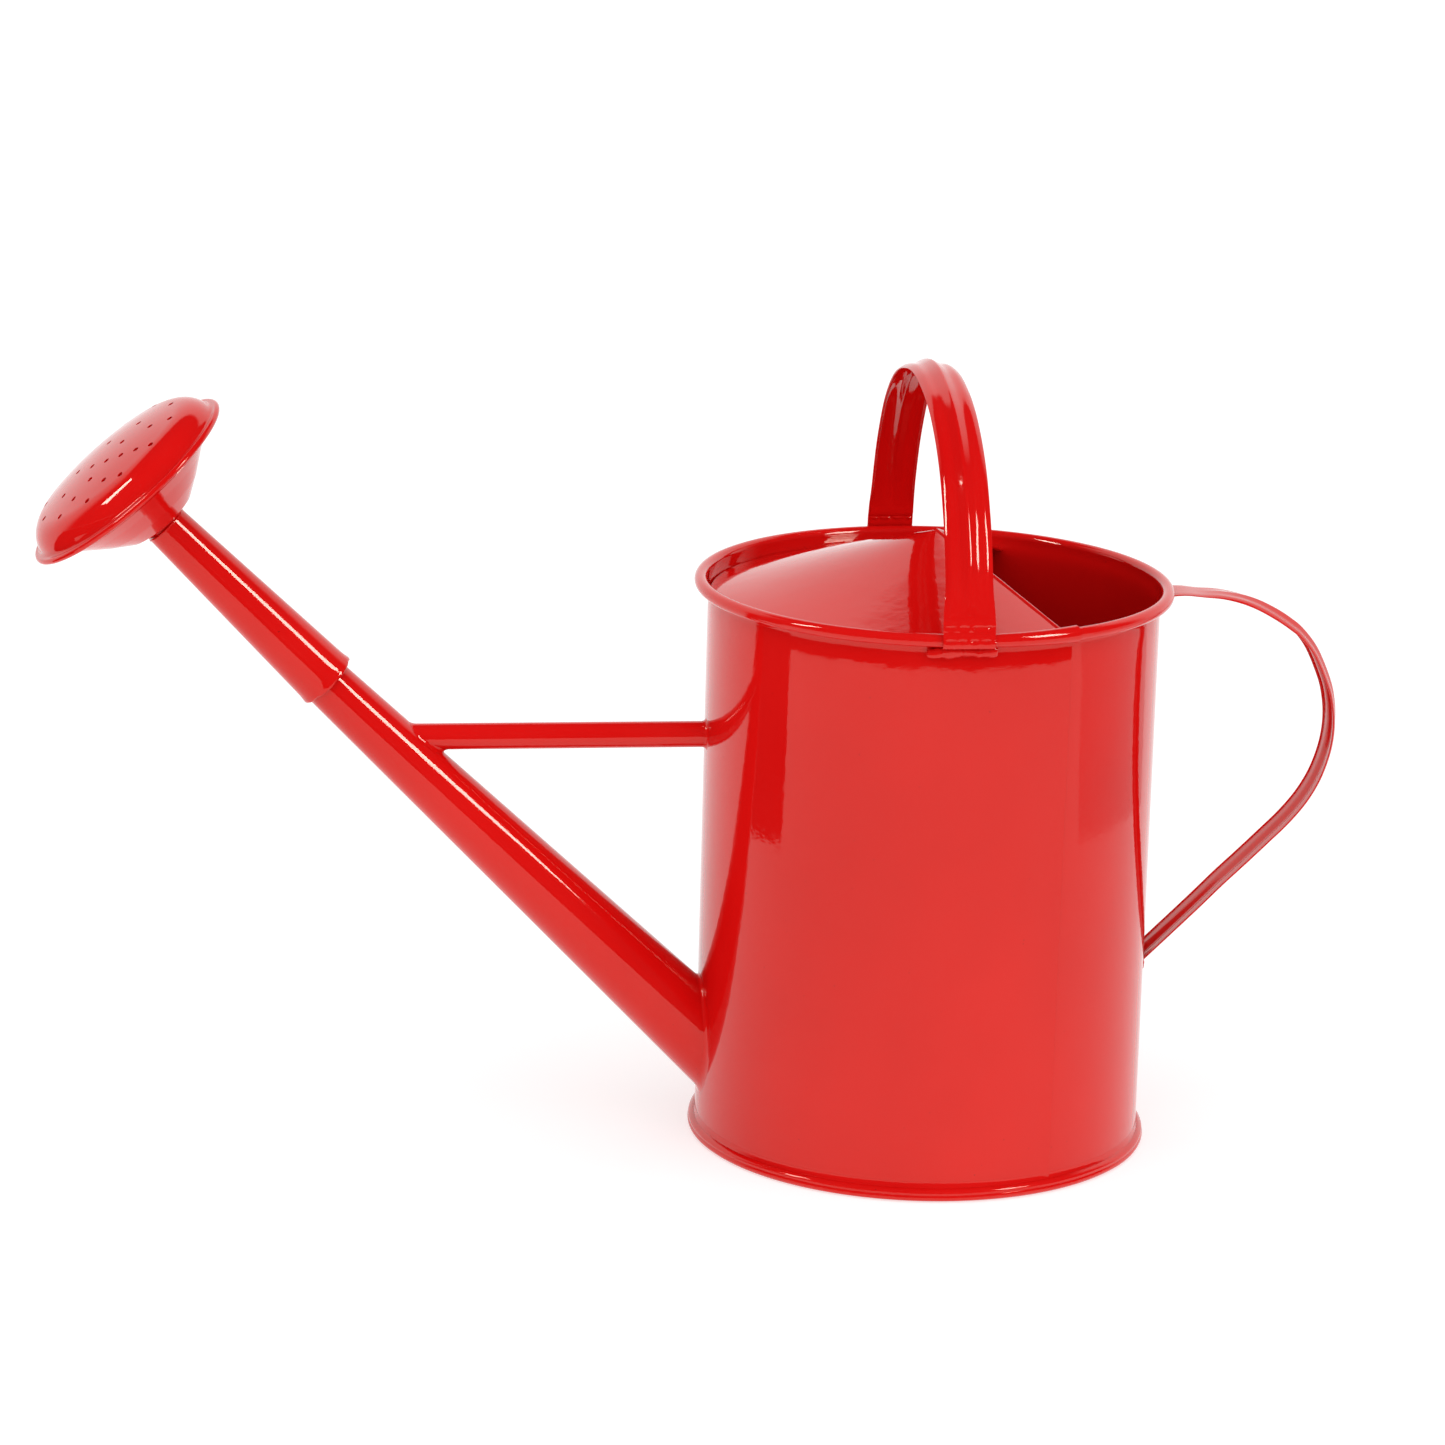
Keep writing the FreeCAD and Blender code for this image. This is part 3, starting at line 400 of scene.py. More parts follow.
# base: pressed bottom disc seamed round the wall's foot, with a groove
def build_base():
    prof = [(0.0, 2.6), (40, 2.6), (80, 2.6), (86.6, 2.6), (87.4, 2.2),
            (88.5, 0.7), (89.4, 0.05), (90.4, 0.0), (91.3, 0.0),
            (92.0, 0.18), (92.5, 0.62), (92.78, 1.15), (92.86, 1.65),
            (92.74, 2.1), (92.52, 2.42), (92.42, 2.62), (92.46, 2.85),
            (92.56, 3.15), (92.54, 3.55), (92.34, 3.98), (91.98, 4.34),
            (91.5, 4.66), (91.0, 5.0), (90.6, 5.4), (90.3, 5.95),
            (90.14, 6.6), (90.03, 7.4), (90.02, 5.0), (90.04, 2.5),
            (89.05, 2.45), (89.05, 3.5), (60, 3.5), (20, 3.5), (0.0, 3.5)]

    def warp(phi, r, z):
        if r > 90.3 and z > 0.3:
            z = min(z + 0.10 * math.sin(5 * phi + 1.0)
                    + 0.06 * math.sin(13 * phi), 5.0)
        return r, z
    return lathe("can_base", prof, PHI, "can", M_BODY, ("base_plate",),
                 warp=warp, sharp=40)


build_base()


# ------------------------------------------------------------------- strap work
def strap_loop(wide, rib, drop, t=0.85, half=5.2):
    """Closed outline (across, out) of the ribbed strap, shoulders at out 0."""
    hw = wide / 2
    cw = 3.4
    drop = max(drop, 0.05)
    crest = [(0, 1.0), (0.3, 0.985), (0.7, 0.89), (1.2, 0.75), (1.8, 0.58),
             (2.5, 0.385), (3.2, 0.205), (3.9, 0.08), (4.6, 0.02), (half, 0.0)]
    edge_ = [(0, 0), (0.2, 0.13), (0.4, 0.24), (0.8, 0.43), (1.3, 0.63),
             (1.8, 0.79), (2.3, 0.905), (2.8, 0.97), (3.4, 1.0)]

    def bell(w):
        return rib * float(np.interp(abs(w), [c[0] for c in crest],
                                     [c[1] for c in crest]))

    left = [(-hw + u, -drop + drop * q) for u, q in edge_]
    mids = [-4.9, -4.3, -3.7, -3.2, -2.7, -2.2, -1.7, -1.2, -0.8, -0.45, -0.2,
            0.0]
    mids = [(w, bell(w)) for w in mids]
    half_out = left + mids
    outer = half_out + [(-w, h) for w, h in half_out[-2::-1]]
    ti = []
    for k in range(10):
        th = rad(90 * k / 9)
        ti.append((hw - cw + max(cw - t, 0.2) * math.cos(th),
                   -max(drop, t * 0.4) + (max(drop, t * 0.4) - t)
                   * math.sin(th) if drop > t else -t * 1.0))
    edge = [(hw - t * 0.12, -drop - t * 0.33), (hw - t * 0.5, -drop - t * 0.5),
            (hw - t * 0.88, -drop - t * 0.33)]
    right = edge + ti
    inn = [(-w, h - t) for w, h in mids]
    inner = right + inn + [(w, h - t) for w, h in mids[-2::-1]]
    inner += [(-w, h) for w, h in right[::-1]]
    return outer + inner


def sweep(stations):
    """Rings of strap section. Station: (p, out, across, wide, rib, drop, t)."""
    rings = []
    for p, out, ac, wide, rib, drop, t in stations:
        loop = strap_loop(wide, rib, drop, t)
        rings.append([tuple(np.asarray(p) + np.asarray(ac) * w
                            + np.asarray(out) * h) for w, h in loop])
    return rings


def polyline_normals(p):
    d = np.gradient(p, axis=0)
    d /= np.linalg.norm(d, axis=1)[:, None]
    return d


def build_top():
    foot = [(94.2, 223.9), (95.3, 224.2), (96.0, 225.0), (96.3, 226.4),
            (96.24, 227.6), (95.9, 228.6), (95.45, 229.4), (95.25, 230.4),
            (95.3, 231.5), (95.34, 232.6), (95.1, 233.5), (94.6, 234.15),
            (94.34, 234.95), (94.2, 236.4), (93.98, 238.3)]
    polar = [(94.42, 10), (93.9, 14), (93.13, 20), (92.5, 28), (91.78, 40),
             (90.85, 50), (89.8, 60), (88.75, 68), (87.9, 75), (87.52, 83)]
    arch = [(r * math.cos(rad(a)), BZ + r * math.sin(rad(a)))
            for r, a in polar]
    half = foot + arch
    pts = half + [(0.0, BZ + 87.42)] + [(-y, z) for y, z in half[::-1]]
    line = catmull(pts, 5)
    d = polyline_normals(line)
    n = len(line)
    st = []
    for i in range(n):
        y, z = line[i]
        dy, dz = d[i]
        out = (0.0, dz, -dy)
        if y > 0 and out[1] < 0 or y < 0 and out[1] > 0 or \
                (abs(y) < 5 and out[2] < 0):
            out = (0.0, -out[1], -out[2])
        s = float(smooth(236.2, 241.5, z))
        f = float(smooth(233.0, 250.0, z))
        wide = (20.3 if y < 0 else 18.9) * (1 - f) + 18.2 * f
        rib = (0.6 + 1.3 * float(smooth(240.0, 256.0, z))) * s
        # rib flattened and rolled a little by hand along its run
        ph = math.atan2(z - BZ, y)
        rib *= 1.0 + 0.05 * math.sin(9 * ph) * s
        drop = 0.12 + 1.5 * float(smooth(233.5, 248.0, z))
        x = TOPX + 0.10 * math.sin(3 * ph + 0.6)
        # the near leg is turned a few degrees towards the spout
        tw = rad(5.0) * float(smooth(236, 250, z)) * (
            1 - float(smooth(285, 312, z))) * (1 if y < 0 else 0)
        ac = np.array([math.cos(tw), -math.sin(tw), 0.0])
        o3 = np.asarray(out, float)
        o3 = o3 - ac * o3.dot(ac)
        o3 /= np.linalg.norm(o3)
        st.append(((x, y, z), tuple(o3), tuple(ac), wide, rib, drop, 0.85))
    rings = sweep(st)
    # creases left where the rib was pressed flat and the end turned over
    for i, ring in enumerate(rings):
        z = st[i][0][2]
        o3 = np.asarray(st[i][1])
        k1 = math.exp(-((z - 232.6) / 0.9) ** 2)
        k2 = math.exp(-((z - 227.4) / 0.8) ** 2)
        if max(k1, k2) < 0.02:
            continue
        for j in range(len(ring)):
            u = ring[j][0] - TOPX
            g = k1 * (0.26 * math.sin(1.25 * u + 0.9)
                      + 0.14 * math.sin(2.3 * u))
            g += k2 * 0.24 * math.sin(1.35 * u + 2.2)
            ring[j] = tuple(np.asarray(ring[j]) + o3 * (g - 0.45 * max(k1, k2)))
    v, f = loft(rings)
    return make("top_strap", v, f, "can", M_STRAP, ("top_handle",), sharp=50)


build_top()


def build_rear():
    pts = [(90.5, 223.05), (93.5, 223.15), (97.0, 223.85), (102.0, 223.95),
           (108.1, 223.35), (116.2, 222.9), (124.5, 221.2), (131.8, 218.4),
           (139.0, 214.4), (145.0, 210.4), (150.0, 206.3), (156.2, 198.4),
           (161.9, 186.0), (164.2, 177.7), (165.1, 169.3), (164.6, 161.0),
           (162.7, 152.6), (159.6, 144.4), (154.8, 136.1), (148.1, 127.8),
           (139.7, 119.3), (131.2, 110.9), (122.6, 102.6), (114.4, 94.2),
           (106.0, 85.8), (98.0, 77.9), (90.2, 70.2)]
    line = catmull(pts, 5)
    d = polyline_normals(line)
    seg = np.concatenate([[0], np.cumsum(np.linalg.norm(
        np.diff(line, axis=0), axis=1))])
    total = seg[-1]
    st = []
    for i, (x, z) in enumerate(line):
        dx, dz = d[i]
        out = (-dz, 0.0, dx)
        s = seg[i]
        grow = float(smooth(14.0, 58.0, s))
        fall = 1 - 0.5 * float(smooth(total - 150.0, total - 95.0, s))
        wide = 16.6 + 1.6 * float(smooth(4.0, 40.0, s))
        rib = 1.95 * grow * fall
        drop = 0.15 + 1.1 * float(smooth(6.0, 46.0, s)) * (0.75 + 0.25 * fall)
        y = 0.12 * math.sin(s / 37.0)
        st.append(((x, y, z), out, (0, 1, 0), wide, rib, drop, 0.85))
    v, f = loft(sweep(st))
    return make("rear_strap", v, f, "can", M_STRAP, ("rear_handle",), sharp=50)


build_rear()


# ------------------------------------------------------------------ neck sleeve
def frame_axes(d):
    d = Vector(d).normalized()
    a = Vector((0, 1, 0))
    a = (a - d * a.dot(d)).normalized()
    return a, d.cross(a), d


def axis_lathe(name, p, d, prof, n, body, mat, stands_for, warp=None, **kw):
    a, b, d = frame_axes(d)
    rings = []
    for i in range(n):
        phi = 2 * math.pi * i / n
        e = a * math.cos(phi) + b * math.sin(phi)
        ring = []
        for r, t in prof:
            if warp:
                r, t = warp(phi, r, t)
            ring.append(tuple(Vector(p) + d * t + e * r))
        rings.append(ring)
    verts = np.array(rings).reshape(-1, 3)
    faces = grid_faces(n, len(prof), True, True)
    return make(name, verts, faces, body, mat, stands_for, **kw)


def build_sleeve():
    def r(t):
        return 19.372 - 0.037 * t
    prof = [(r(288.1), 288.1), (r(284), 284.0), (r(270), 270.0),
            (r(250), 250.0), (r(230), 230.0), (r(212), 212.0),
            (r(206), 206.0), (r(203) + 0.02, 203.0), (r(201.6) + 0.10, 201.6),
            (r(200.6) + 0.24, 200.6), (r(199.9) + 0.34, 199.9),
            (r(199.3) + 0.30, 199.3), (r(198.9) + 0.10, 198.95),
            (r(198.8) - 0.25, 198.8), (r(199.0) - 0.62, 198.95),
            (r(199.6) - 0.85, 199.5), (r(202) - 0.9, 202.0),
            (r(220) - 0.9, 220.0), (r(250) - 0.9, 250.0),
            (r(288.1) - 0.9, 288.1)]

    def warp(phi, rr, t):
        k = math.exp(-((t - 199.5) / 2.2) ** 2)
        t = t + k * (0.22 * math.sin(3 * phi + 0.8)
                     + 0.16 * math.sin(7 * phi + 2.0)
                     + 0.10 * math.sin(13 * phi))
        rr = rr + k * 0.07 * math.sin(5 * phi + 1.1)
        return rr, max(t, 198.55)
    return axis_lathe("neck_sleeve", NK_P, NK_D, prof, 144, "rose_neck",
                      M_PART, ("rose_neck_sleeve",), warp=warp, sharp=42)


build_sleeve()


# ---------------------------------------------------------------- splash guard
M_GUARD = enamel("enamel_guard", wave=0.00009, wave_scale=95.0)


def build_guard():
    """Half cone with the shallow waves of a hand-dressed sheet."""
    apex, foot, reach, t = 249.0, 222.6, 88.75, 0.9
    slope = (apex - foot) / 88.8
    a0, a1 = rad(62.0), rad(298.0)

    def top(x, y):
        rho = math.hypot(x, y)
        z = apex - slope * rho
        z -= 0.02 * (x + 4) * float(smooth(-25.0, 50.0, y)) * math.exp(
            -((x + 10) / 26.0) ** 2) * (1 - float(smooth(70.0, 84.0, rho)))
        z += 0.5 * math.exp(-((x + 46) / 22.0) ** 2 - ((y + 4) / 30.0) ** 2)
        return z

    rings = []
    n, m = 150, 44
    for i in range(n + 1):
        a = a0 + (a1 - a0) * i / n
        ring = []
        for k in range(m + 1):
            rho = 0.6 + (reach - 0.6) * k / m
            x, y = rho * math.cos(a), rho * math.sin(a)
            ring.append((x, y, top(x, y)))
        ring += [(px, py, pz - t) for px, py, pz in ring[::-1]]
        rings.append(ring)
    v, f = loft(rings)
    o = make("guard_sheet", v, f, "can", M_GUARD, ("splash_guard",), sharp=40)
    # hem rolled along the free edge, apex included
    for name, a in (("guard_hem_far", a0), ("guard_hem_near", a1)):
        pts = []
        for k in range(24):
            rho = 88.0 * k / 23
            x, y = rho * math.cos(a), rho * math.sin(a)
            pts.append(Vector((x, y, top(x, y) - t / 2)))
        hem = []
        ax = Vector((-math.sin(a), math.cos(a), 0))
        up_ = Vector((0, 0, 1))
        for k, c in enumerate(pts):
            r = 1.08 + 0.04 * math.sin(k * 1.3)
            if k == len(pts) - 1:
                r = 0.7
            hem.append([tuple(c + ax * (r * math.cos(2 * math.pi * j / 16))
                              + up_ * (r * math.sin(2 * math.pi * j / 16)))
                        for j in range(16)])
        v, f = loft(hem)
        make(name, v, f, "can", M_GUARD, ("splash_guard",), sharp=60)
    return o


build_guard()

# ------------------------------------------------------------------- rose face
RISE, SIDE = rad(49.27), rad(-3.49)


def rose_axes():
    """Level axis, the axis across it and the way the rose points."""
    h = Vector((-math.cos(SIDE), math.sin(SIDE), 0))
    d = (h * math.cos(RISE) + Vector((0, 0, 1)) * math.sin(RISE)).normalized()
    x = d.cross(Vector((0, 0, 1))).normalized()
    return x, d.cross(x), d


ROSE_P = Vector((-99.95 - 288.1 * math.cos(rad(45.01)), 0,
                 48.30 + 288.1 * math.sin(rad(45.01))))
HOLES = [
    (2.7, -32.4), (21.5, -25.9), (-15.1, -29.6), (31.0, -12.6), (3.3, -18.1),
    (-10.7, -21.6), (7.4, -4.2), (-6.4, -9.3), (-28.0, -18.4), (33.0, 3.8),
    (-23.7, -12.6), (-18.9, -6.5), (-13.1, -0.5), (-5.8, 5.7), (4.9, 12.2),
    (-16.7, 8.7), (-27.2, 4.0), (-33.3, -2.5), (-5.9, 21.5), (-19.0, 18.2),
    (-30.6, 13.8), (13.3, 30.6), (-4.5, 33.1), (-20.4, 26.6),
]


def cap(r):
    return 14.86 - (151.0 - math.sqrt(151.0 ** 2 - r * r))


def build_rose_face():
    fa = 23.26
    out = [(0.0, cap(0))] + [(r, cap(r)) for r in range(3, 34, 3)]
    out += arc(31.4, -0.70, 12.0, 76.5, 14.5, 16)
    out += [(43.32, 1.75), (43.7, 1.4), (44.2, 1.18)]
    out += arc(45.2, 0.0, 1.26, 100, -110, 12)
    out += [(43.9, -1.2), (43.0, -1.15)]
    inn = [(42.5, 0.6), (42.0, 2.5), (40.9, 5.0), (39.0, 7.4),
           (36.6, 9.1), (33.9, 10.1)]
    inn += [(r, cap(r) - 0.8) for r in range(30, 0, -3)] + [(0.0, 14.06)]
    prof = [(r, fa + z) for r, z in out + inn]
    x, y, d = rose_axes()
    rings = []
    n = 180
    for i in range(n):
        ph = 2 * math.pi * i / n
        e = x * math.cos(ph) + y * math.sin(ph)
        ring = []
        for r, z in prof:
            k = math.exp(-((r - 44) / 2.0) ** 2) * (1 if z < fa + 1.2 else 0)
            zz = z + k * 0.10 * math.sin(4 * ph + 0.7)
            # the shoulder was rolled by hand and is not quite even
            q = math.exp(-((r - 39.5) / 3.5) ** 2)
            zz += q * (0.10 * math.sin(3 * ph + 1.1)
                       + 0.05 * math.sin(8 * ph + 0.4))
            ring.append(tuple(ROSE_P + d * zz + e * r))
        rings.append(ring)
    verts = np.array(rings).reshape(-1, 3)
    faces = grid_faces(n, len(prof), True, True)
    o = make("rose_cap", verts, faces, "rose_head", M_ROSE, ("rose_face",),
             sharp=50)
    # punched holes, all cut at once
    vs, fs = [], []
    for u, v in HOLES:
        c = ROSE_P + x * u + y * v
        base = len(vs)
        m = 20
        for t_ in (fa + 6.0, fa + 18.0):
            for k in range(m):
                th = 2 * math.pi * k / m
                q = c + d * t_ + (x * math.cos(th) + y * math.sin(th)) * 1.2
                vs.append(tuple(q * MM))
        for k in range(m):
            k2 = (k + 1) % m
            fs.append((base + k, base + k2, base + m + k2, base + m + k))
        fs.append(tuple(base + k for k in range(m - 1, -1, -1)))
        fs.append(tuple(base + m + k for k in range(m)))
    me = bpy.data.meshes.new("punch")
    me.from_pydata(vs, [], fs)
    t_o = bpy.data.objects.new("punch", me)
    scene.collection.objects.link(t_o)
    carve(o, t_o, sharp=50)
    return o


build_rose_face()

# ----------------------------------------------------------------- solder work
def fillet(name, n, at, body, stands_for, seed, amp=0.25, mat=M_WELD):
    """Concave solder ring. at(alpha, w) gives points A, B on the two faces
    and C, the corner between them; w is the local width."""
    rings = []
    turn = np.arange(n) / n
    nw = 1.0 + wob(turn, seed, [2, 3, 5, 8, 13], amp)
    nb = wob(turn, seed + 1, [7, 12, 19], 0.10)
    for i in range(n):
        al = 2 * math.pi * i / n
        A, B, C = [np.array(x, float) for x in at(al, float(nw[i]))]
        mid = (A + B) / 2
        ctrl = C + (mid - C) * (0.30 + float(nb[i]))
        ring = []
        for k in range(7):
            s = k / 6
            ring.append(A * (1 - s) ** 2 + ctrl * 2 * s * (1 - s) + B * s * s)
        ring.append(B + (C - B) * 0.5 + (C - mid) * 0.12)
        ring.append(C + (C - mid) * 0.12)
        ring.append(A + (C - A) * 0.5 + (C - mid) * 0.12)
        rings.append(ring)
    verts = np.array(rings).reshape(-1, 3)
    faces = grid_faces(n, 10, True, True)
    return make(name, verts, faces, body, mat, stands_for,
                slot="enamel_solder", sharp=60)


def on_wall(p, r=R + 0.02):
    h = math.hypot(p[0], p[1])
    return (p[0] * r / h, p[1] * r / h, p[2])


SA, SB, SD = frame_axes(SP_D)


def spout_pt(al, t, grow=0.0):
    e = SA * math.cos(al) + SB * math.sin(al)
    return SP_P + SD * t + e * (16.58 - 0.032 * t + grow)


def root_at(al, nw):
    lo, hi = -40.0, 60.0
    for _ in range(40):
        m = (lo + hi) / 2
        q = spout_pt(al, m)
        if math.hypot(q.x, q.y) < R:
            lo = m
        else:
            hi = m
    w = 2.3 * nw
    C = spout_pt(al, hi)
    A = spout_pt(al, hi + w, 0.03)
    e = SA * math.cos(al) + SB * math.sin(al)
    B = on_wall(C + e * w * 1.15)
    return A, B, C


def brace_body_at(al, nw):
    w = 1.45 * nw
    y, z = 5.25 * math.cos(al), 5.25 * math.sin(al)
    x = -math.sqrt(R * R - y * y)
    C = (x, y, 165.9 + z)
    A = (x - w, y * 1.006, 165.9 + z * 1.006)
    k = (5.25 + w) / 5.25
    B = on_wall((x, y * k, 165.9 + z * k))
    return A, B, C


def to_spout(p, grow=0.03):
    q = Vector(p) - SP_P
    t = q.dot(SD)
    e = (q - SD * t).normalized()
    return SP_P + SD * t + e * (16.58 - 0.032 * t + grow)


def brace_spout_at(al, nw):
    y, z = 5.25 * math.cos(al), 5.25 * math.sin(al)
    lo, hi = -215.0, -150.0
    for _ in range(40):
        m = (lo + hi) / 2
        q = Vector((m, y, 165.9 + z)) - SP_P
        t = q.dot(SD)
        if (q - SD * t).length < 16.58 - 0.032 * t:
            lo = m
        else:
            hi = m
    under = 1.0 + 1.1 * max(0.0, -math.sin(al)) ** 2
    w = 1.5 * nw * under
    C = Vector((hi, y, 165.9 + z))
    A = (hi + w, y * 1.006, 165.9 + z * 1.006)
    k = (5.25 + w) / 5.25
    B = to_spout((hi, y * k, 165.9 + z * k))
    return A, B, C


fillet("weld_spout_root", 180, root_at, "can", ("spout_root_weld",), 21, 0.22)
fillet("weld_brace_body", 96, brace_body_at, "can", ("brace_body_weld",), 31,
       0.25)
fillet("weld_brace_spout", 96, brace_spout_at, "can", ("brace_spout_weld",),
       41, 0.22)


def blob_line(name, pts, radius, body, stands_for, seed, flat=(1, 1), up=None,
              amp=0.2, mat=M_WELD, per=6):
    """Run of solder along pts: a lumpy round-ended tube."""
    line = catmull(pts, per)
    d = polyline_normals(line)
    n = len(line)
    s = np.linspace(0, 1, n)
    cap = np.sqrt(np.clip(1 - np.clip((0.06 - np.minimum(s, 1 - s)) / 0.06, 0,
                                      1) ** 2, 0.02, 1))
    rr = radius * cap * (1 + wob(s, seed, [2, 3, 5, 7, 11], amp))
    ref = np.array(up if up is not None else (0, 0, 1), float)
    rings = []
    for i in range(n):
        a = np.cross(d[i], ref)
        a /= np.linalg.norm(a)
        b = np.cross(a, d[i])
        ring = []
        for k in range(14):
            th = 2 * math.pi * k / 14
            lump = 1 + 0.07 * math.sin(3 * th + 9 * s[i] + seed)
            ring.append(line[i] + (a * math.cos(th) * flat[0]
                                   + b * math.sin(th) * flat[1]) * rr[i] * lump)
        rings.append(ring)
    v, f = loft(rings)
    return make(name, v, f, body, mat, stands_for, slot="enamel_solder",
                sharp=70)


def wall_p(x, z, r, side):
    return (x, side * math.sqrt(r * r - x * x), z)


def build_foot_welds():
    for side, node_name, name, seed in (
            (-1, "top_handle_front_weld", "weld_foot_near", 53),
            (1, "top_handle_rear_weld", "weld_foot_far", 67)):
        zs = wob(np.linspace(0, 1, 12), seed, [1, 2, 3, 5], 0.55)
        pts = []
        for i, x in enumerate(np.linspace(-18.2, 9.4, 12)):
            xx = x if side < 0 else -5.2 - x
            zc = 222.3 + 0.55 * zs[i] - 0.8 * math.exp(-((x + 17) / 4) ** 2)
            pts.append(wall_p(xx, zc, 91.9, side))
        blob_line(name, pts, 2.05, "can", (node_name,), seed, flat=(1.0, 1.05),
                  amp=0.3)


build_foot_welds()


def build_rear_welds():
    # lower leg: along both faces of the strap where it meets the wall
    ux = np.array([math.sin(rad(45.2)), 0, math.cos(rad(45.2))])
    nz = np.array([-ux[2], 0, ux[0]])      # inner face of the leg is +nz
    base = np.array([90.2, 0, 70.2])
    loop = []
    for k in range(25):
        th = 2 * math.pi * k / 24
        w = 9.35 * math.copysign(abs(math.cos(th)) ** 0.35, math.cos(th))
        h = (1.45 if math.sin(th) > 0 else 1.5) * math.copysign(
            abs(math.sin(th)) ** 0.6, math.sin(th))
        p = base + np.array([0, w, 0]) + nz * h
        # slide along the leg to the wall
        y = p[1]
        x_wall = math.sqrt(R * R - y * y)
        p = p + ux * ((x_wall + 0.25 - p[0]) / ux[0])
        loop.append(p)
    blob_line("weld_rear_low", loop, 0.75, "can",
              ("rear_handle_lower_weld",), 71, amp=0.25, per=4)
    pts = []
    for y in np.linspace(-9.0, 9.0, 9):
        pts.append((math.sqrt(90.7 ** 2 - y * y), y,
                    221.9 + 0.12 * math.sin(y)))
    blob_line("weld_rear_top", pts, 1.0, "can", ("rear_handle_upper_weld",),
              83, amp=0.25)


build_rear_welds()


def build_neck_weld():
    def warp(phi, r, t):
        t = t + (0.10 * math.sin(4 * phi) + 0.07 * math.sin(9 * phi + 1)
                 if t > 288.2 else 0)
        r = r + 0.08 * math.sin(6 * phi + 0.4) + 0.05 * math.sin(11 * phi)
        return r, t
    prof = [(7.95, 288.12), (8.75, 288.0), (9.0, 288.12), (9.06, 288.35),
            (8.95, 288.62), (8.62, 288.80), (8.2, 288.80), (7.95, 288.75)]
    axis_lathe("weld_neck", NK_P, NK_D, prof, 120, "rose_neck", M_WELD,
               ("rose_neck_weld",), warp=warp, slot="enamel_solder", sharp=60)


build_neck_weld()

# ----------------------------------------------------------------------- stage
def plane(name, x0, x1, y0, y1, z, mat):
    me = bpy.data.meshes.new(name)
    me.from_pydata([(x0, y0, z), (x1, y0, z), (x1, y1, z), (x0, y1, z)], [],
                   [(0, 1, 2, 3)])
    me.materials.append(mat)
    o = bpy.data.objects.new(name, me)
    scene.collection.objects.link(o)
    return o


def stage_mat(name, c, rough=0.9, spec=0.1):
    m = bpy.data.materials.new(name)
    m.use_nodes = True
    t = m.node_tree
    p = t.nodes["Principled BSDF"]
    p.inputs["Roughness"].default_value = rough
    p.inputs["Specular IOR Level"].default_value = spec
    tc = node(t, "ShaderNodeTexCoord", (-900, 0))
    n = node(t, "ShaderNodeTexNoise", (-700, 0), Scale=3.0, Detail=3.0)
    t.links.new(tc.outputs["Object"], n.inputs["Vector"])
    r = node(t, "ShaderNodeValToRGB", (-400, 0))
    r.color_ramp.elements[0].color = (c * 0.985, c * 0.985, c * 0.985, 1)
    r.color_ramp.elements[1].color = (c, c, c, 1)
    t.links.new(n.outputs["Fac"], r.inputs["Fac"])
    t.links.new(r.outputs["Color"], p.inputs["Base Color"])
    return m


floor_mat = stage_mat("floor_white", 0.52)
fp = floor_mat.node_tree.nodes["Principled BSDF"]
fp.inputs["Emission Color"].default_value = (1, 1, 1, 1)
fp.inputs["Emission Strength"].default_value = 0.60
floor = plane("floor", -14, 14, -14, 14, -0.0004, floor_mat)


def polar_pos(az_from_camera, dist, z):
    """A place at an azimuth measured from the camera's side, + to its right."""
    a = rad(-7.8) + rad(az_from_camera)
    return (math.sin(a) * dist, -math.cos(a) * dist, z)


def sector(name, a0, a1, r0, r1, tone, z=0.0002, a0_near=None,
           a1_near=None):
    """The studio beyond the white table: seen only as a tone in the enamel's
    reflections."""
    n = max(2, int(abs(a1 - a0) / 6) + 1)
    v, f = [], []
    for i in range(n + 1):
        az = a0 + (a1 - a0) * i / n
        b0 = a0 if a0_near is None else a0_near
        b1 = a1 if a1_near is None else a1_near
        v += [polar_pos(b0 + (b1 - b0) * i / n, r0, z), polar_pos(az, r1, z)]
        if i:
            k = 2 * i
            f.append((k - 2, k - 1, k + 1, k))
    me = bpy.data.meshes.new(name)
    me.from_pydata(v, [], f)
    me.materials.append(stage_mat(name + "_tone", tone, 0.9, 0.0))
    o = bpy.data.objects.new(name, me)
    scene.collection.objects.link(o)
    o.visible_camera = False
    o.visible_diffuse = False
    o.visible_shadow = False
    o.visible_transmission = False
    return o


sector("beyond_left", -99, -74.5, 0.54, 12, 0.03)
sector("beyond_front", -74.5, 71.0, 1.00, 12, 0.03, a1_near=60.0)
sector("beyond_right", 76.0, 132, 0.56, 12, 0.72)


def softbox(name, loc, target, w, h, power, glossy=True, color=(1, 1, 1)):
    li = bpy.data.lights.new(name, "AREA")
    li.shape = "RECTANGLE"
    li.size, li.size_y = w, h
    li.energy = power
    li.color = color
    o = bpy.data.objects.new(name, li)
    scene.collection.objects.link(o)
    o.location = loc
    d = Vector(target) - Vector(loc)
    o.rotation_euler = d.to_track_quat("-Z", "Y").to_euler()
    o.visible_camera = False
    o.visible_glossy = glossy
    return o


box_l = softbox("box_left", polar_pos(-70, 1.25, 1.12), (0, 0, 1.12), 0.20,
                0.71, 9.5)
box_r = softbox("box_right", polar_pos(54, 1.25, 1.12), (0, 0, 1.12), 0.36,
                0.71, 16)
for b_ in (box_l, box_r):
    b_.visible_diffuse = False

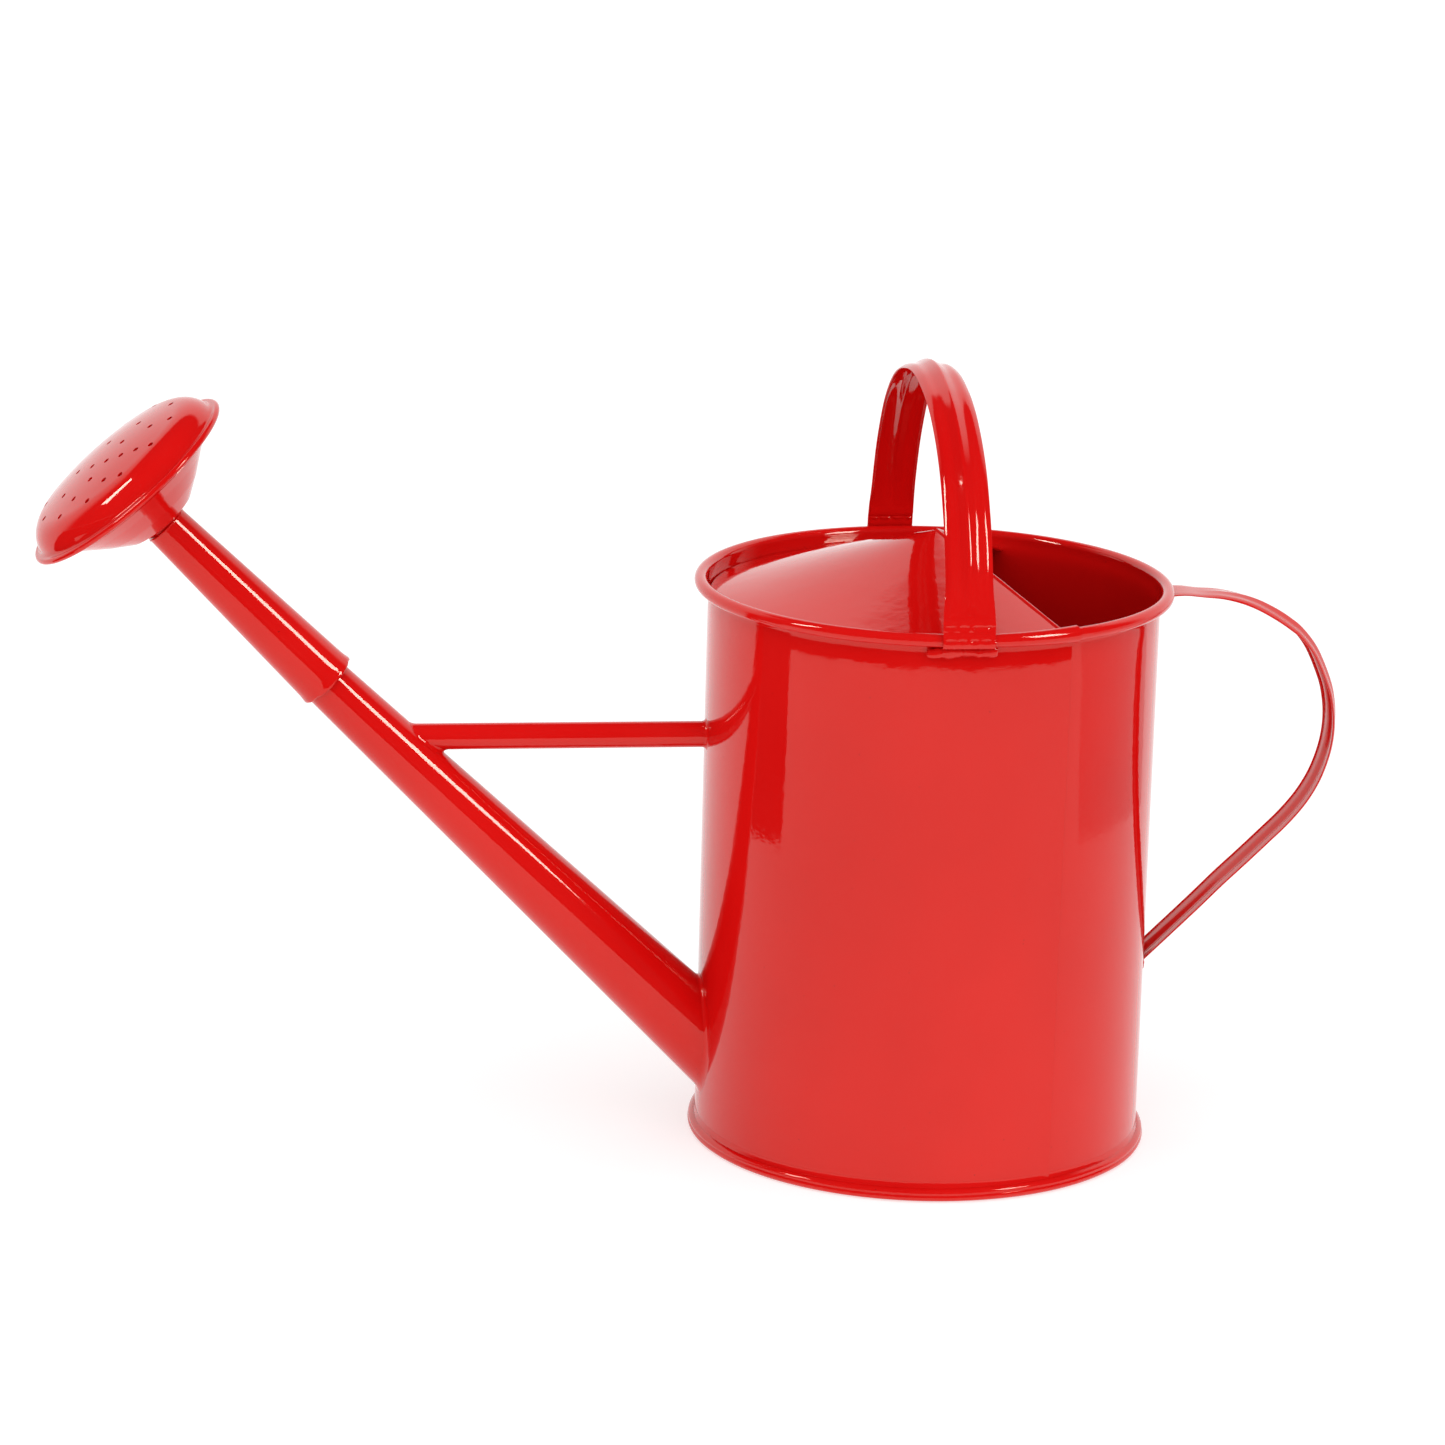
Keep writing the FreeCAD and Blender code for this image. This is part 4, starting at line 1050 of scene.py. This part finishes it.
w = bpy.data.worlds.new("studio")
scene.world = w
w.use_nodes = True
t = w.node_tree
t.nodes.clear()
wo = node(t, "ShaderNodeOutputWorld", (900, 0))
bg_seen = node(t, "ShaderNodeBackground", (400, 150), Strength=1.0)
bg = node(t, "ShaderNodeBackground", (400, -100), Strength=1.0)
lp = node(t, "ShaderNodeLightPath", (400, 500))
mx = node(t, "ShaderNodeMixShader", (650, 0))
tc = node(t, "ShaderNodeTexCoord", (-900, 0))
sx = node(t, "ShaderNodeSeparateXYZ", (-700, 0))
t.links.new(tc.outputs["Generated"], sx.inputs[0])
# white backdrop behind the can, falling off to a dim room above and in front
elev = node(t, "ShaderNodeMapRange", (-450, 150))
elev.interpolation_type = "SMOOTHSTEP"
elev.inputs["From Min"].default_value = 0.76
elev.inputs["From Max"].default_value = 0.68
t.links.new(sx.outputs["Z"], elev.inputs["Value"])
back = node(t, "ShaderNodeMapRange", (-450, -150))
back.interpolation_type = "SMOOTHSTEP"
back.inputs["From Min"].default_value = 0.08
back.inputs["From Max"].default_value = 0.42
t.links.new(sx.outputs["Y"], back.inputs["Value"])
mu = node(t, "ShaderNodeMath", (-200, 0))
mu.operation = "MULTIPLY"
t.links.new(elev.outputs[0], mu.inputs[0])
t.links.new(back.outputs[0], mu.inputs[1])
cr = node(t, "ShaderNodeValToRGB", (0, 0))
cr.color_ramp.elements[0].color = (0.05, 0.05, 0.052, 1)
cr.color_ramp.elements[1].color = (1.0, 1.0, 1.0, 1)
bg.inputs["Strength"].default_value = 1.12
t.links.new(mu.outputs[0], cr.inputs["Fac"])
# soft light on the paint: an even dome with a wide bright part above the camera
dot = node(t, "ShaderNodeVectorMath", (-700, 450))
dot.operation = "DOT_PRODUCT"
dot.inputs[1].default_value = (0.06, -0.50, 0.86)
t.links.new(tc.outputs["Generated"], dot.inputs[0])
front = node(t, "ShaderNodeMapRange", (-450, 450))
front.interpolation_type = "SMOOTHSTEP"
front.inputs["From Min"].default_value = 0.15
front.inputs["From Max"].default_value = 0.95
front.inputs["To Min"].default_value = 0.34
front.inputs["To Max"].default_value = 1.55
t.links.new(dot.outputs["Value"], front.inputs["Value"])
fr = node(t, "ShaderNodeCombineXYZ", (-150, 450))
for k in range(3):
    t.links.new(front.outputs[0], fr.inputs[k])
t.links.new(fr.outputs[0], bg_seen.inputs["Color"])
t.links.new(cr.outputs["Color"], bg.inputs["Color"])
t.links.new(lp.outputs["Is Glossy Ray"], mx.inputs["Fac"])
t.links.new(bg_seen.outputs[0], mx.inputs[1])
t.links.new(bg.outputs[0], mx.inputs[2])
t.links.new(mx.outputs[0], wo.inputs[0])

# ---------------------------------------------------------------------- camera
cam = bpy.data.cameras.new("camera")
cam.sensor_width = 36.0
cam.lens = 5209.5 / 1445 * 36.0
cam.clip_end = 50.0
cam_o = bpy.data.objects.new("camera", cam)
scene.collection.objects.link(cam_o)
a, e, roll = rad(-7.8), rad(14.956), rad(1.517)
back_v = Vector((math.sin(a) * math.cos(e), -math.cos(a) * math.cos(e),
                 math.sin(e)))
right = Vector((math.cos(a), math.sin(a), 0))
up = back_v.cross(right)
loc = (Vector((0, 0, 120)) + right * -82.70 + up * 45.90
       + back_v * 2099.1) * MM
r2 = right * math.cos(roll) + up * math.sin(roll)
u2 = up * math.cos(roll) - right * math.sin(roll)
mtx = Matrix((r2, u2, back_v)).transposed().to_4x4()
mtx.translation = loc
cam_o.matrix_world = mtx
scene.camera = cam_o
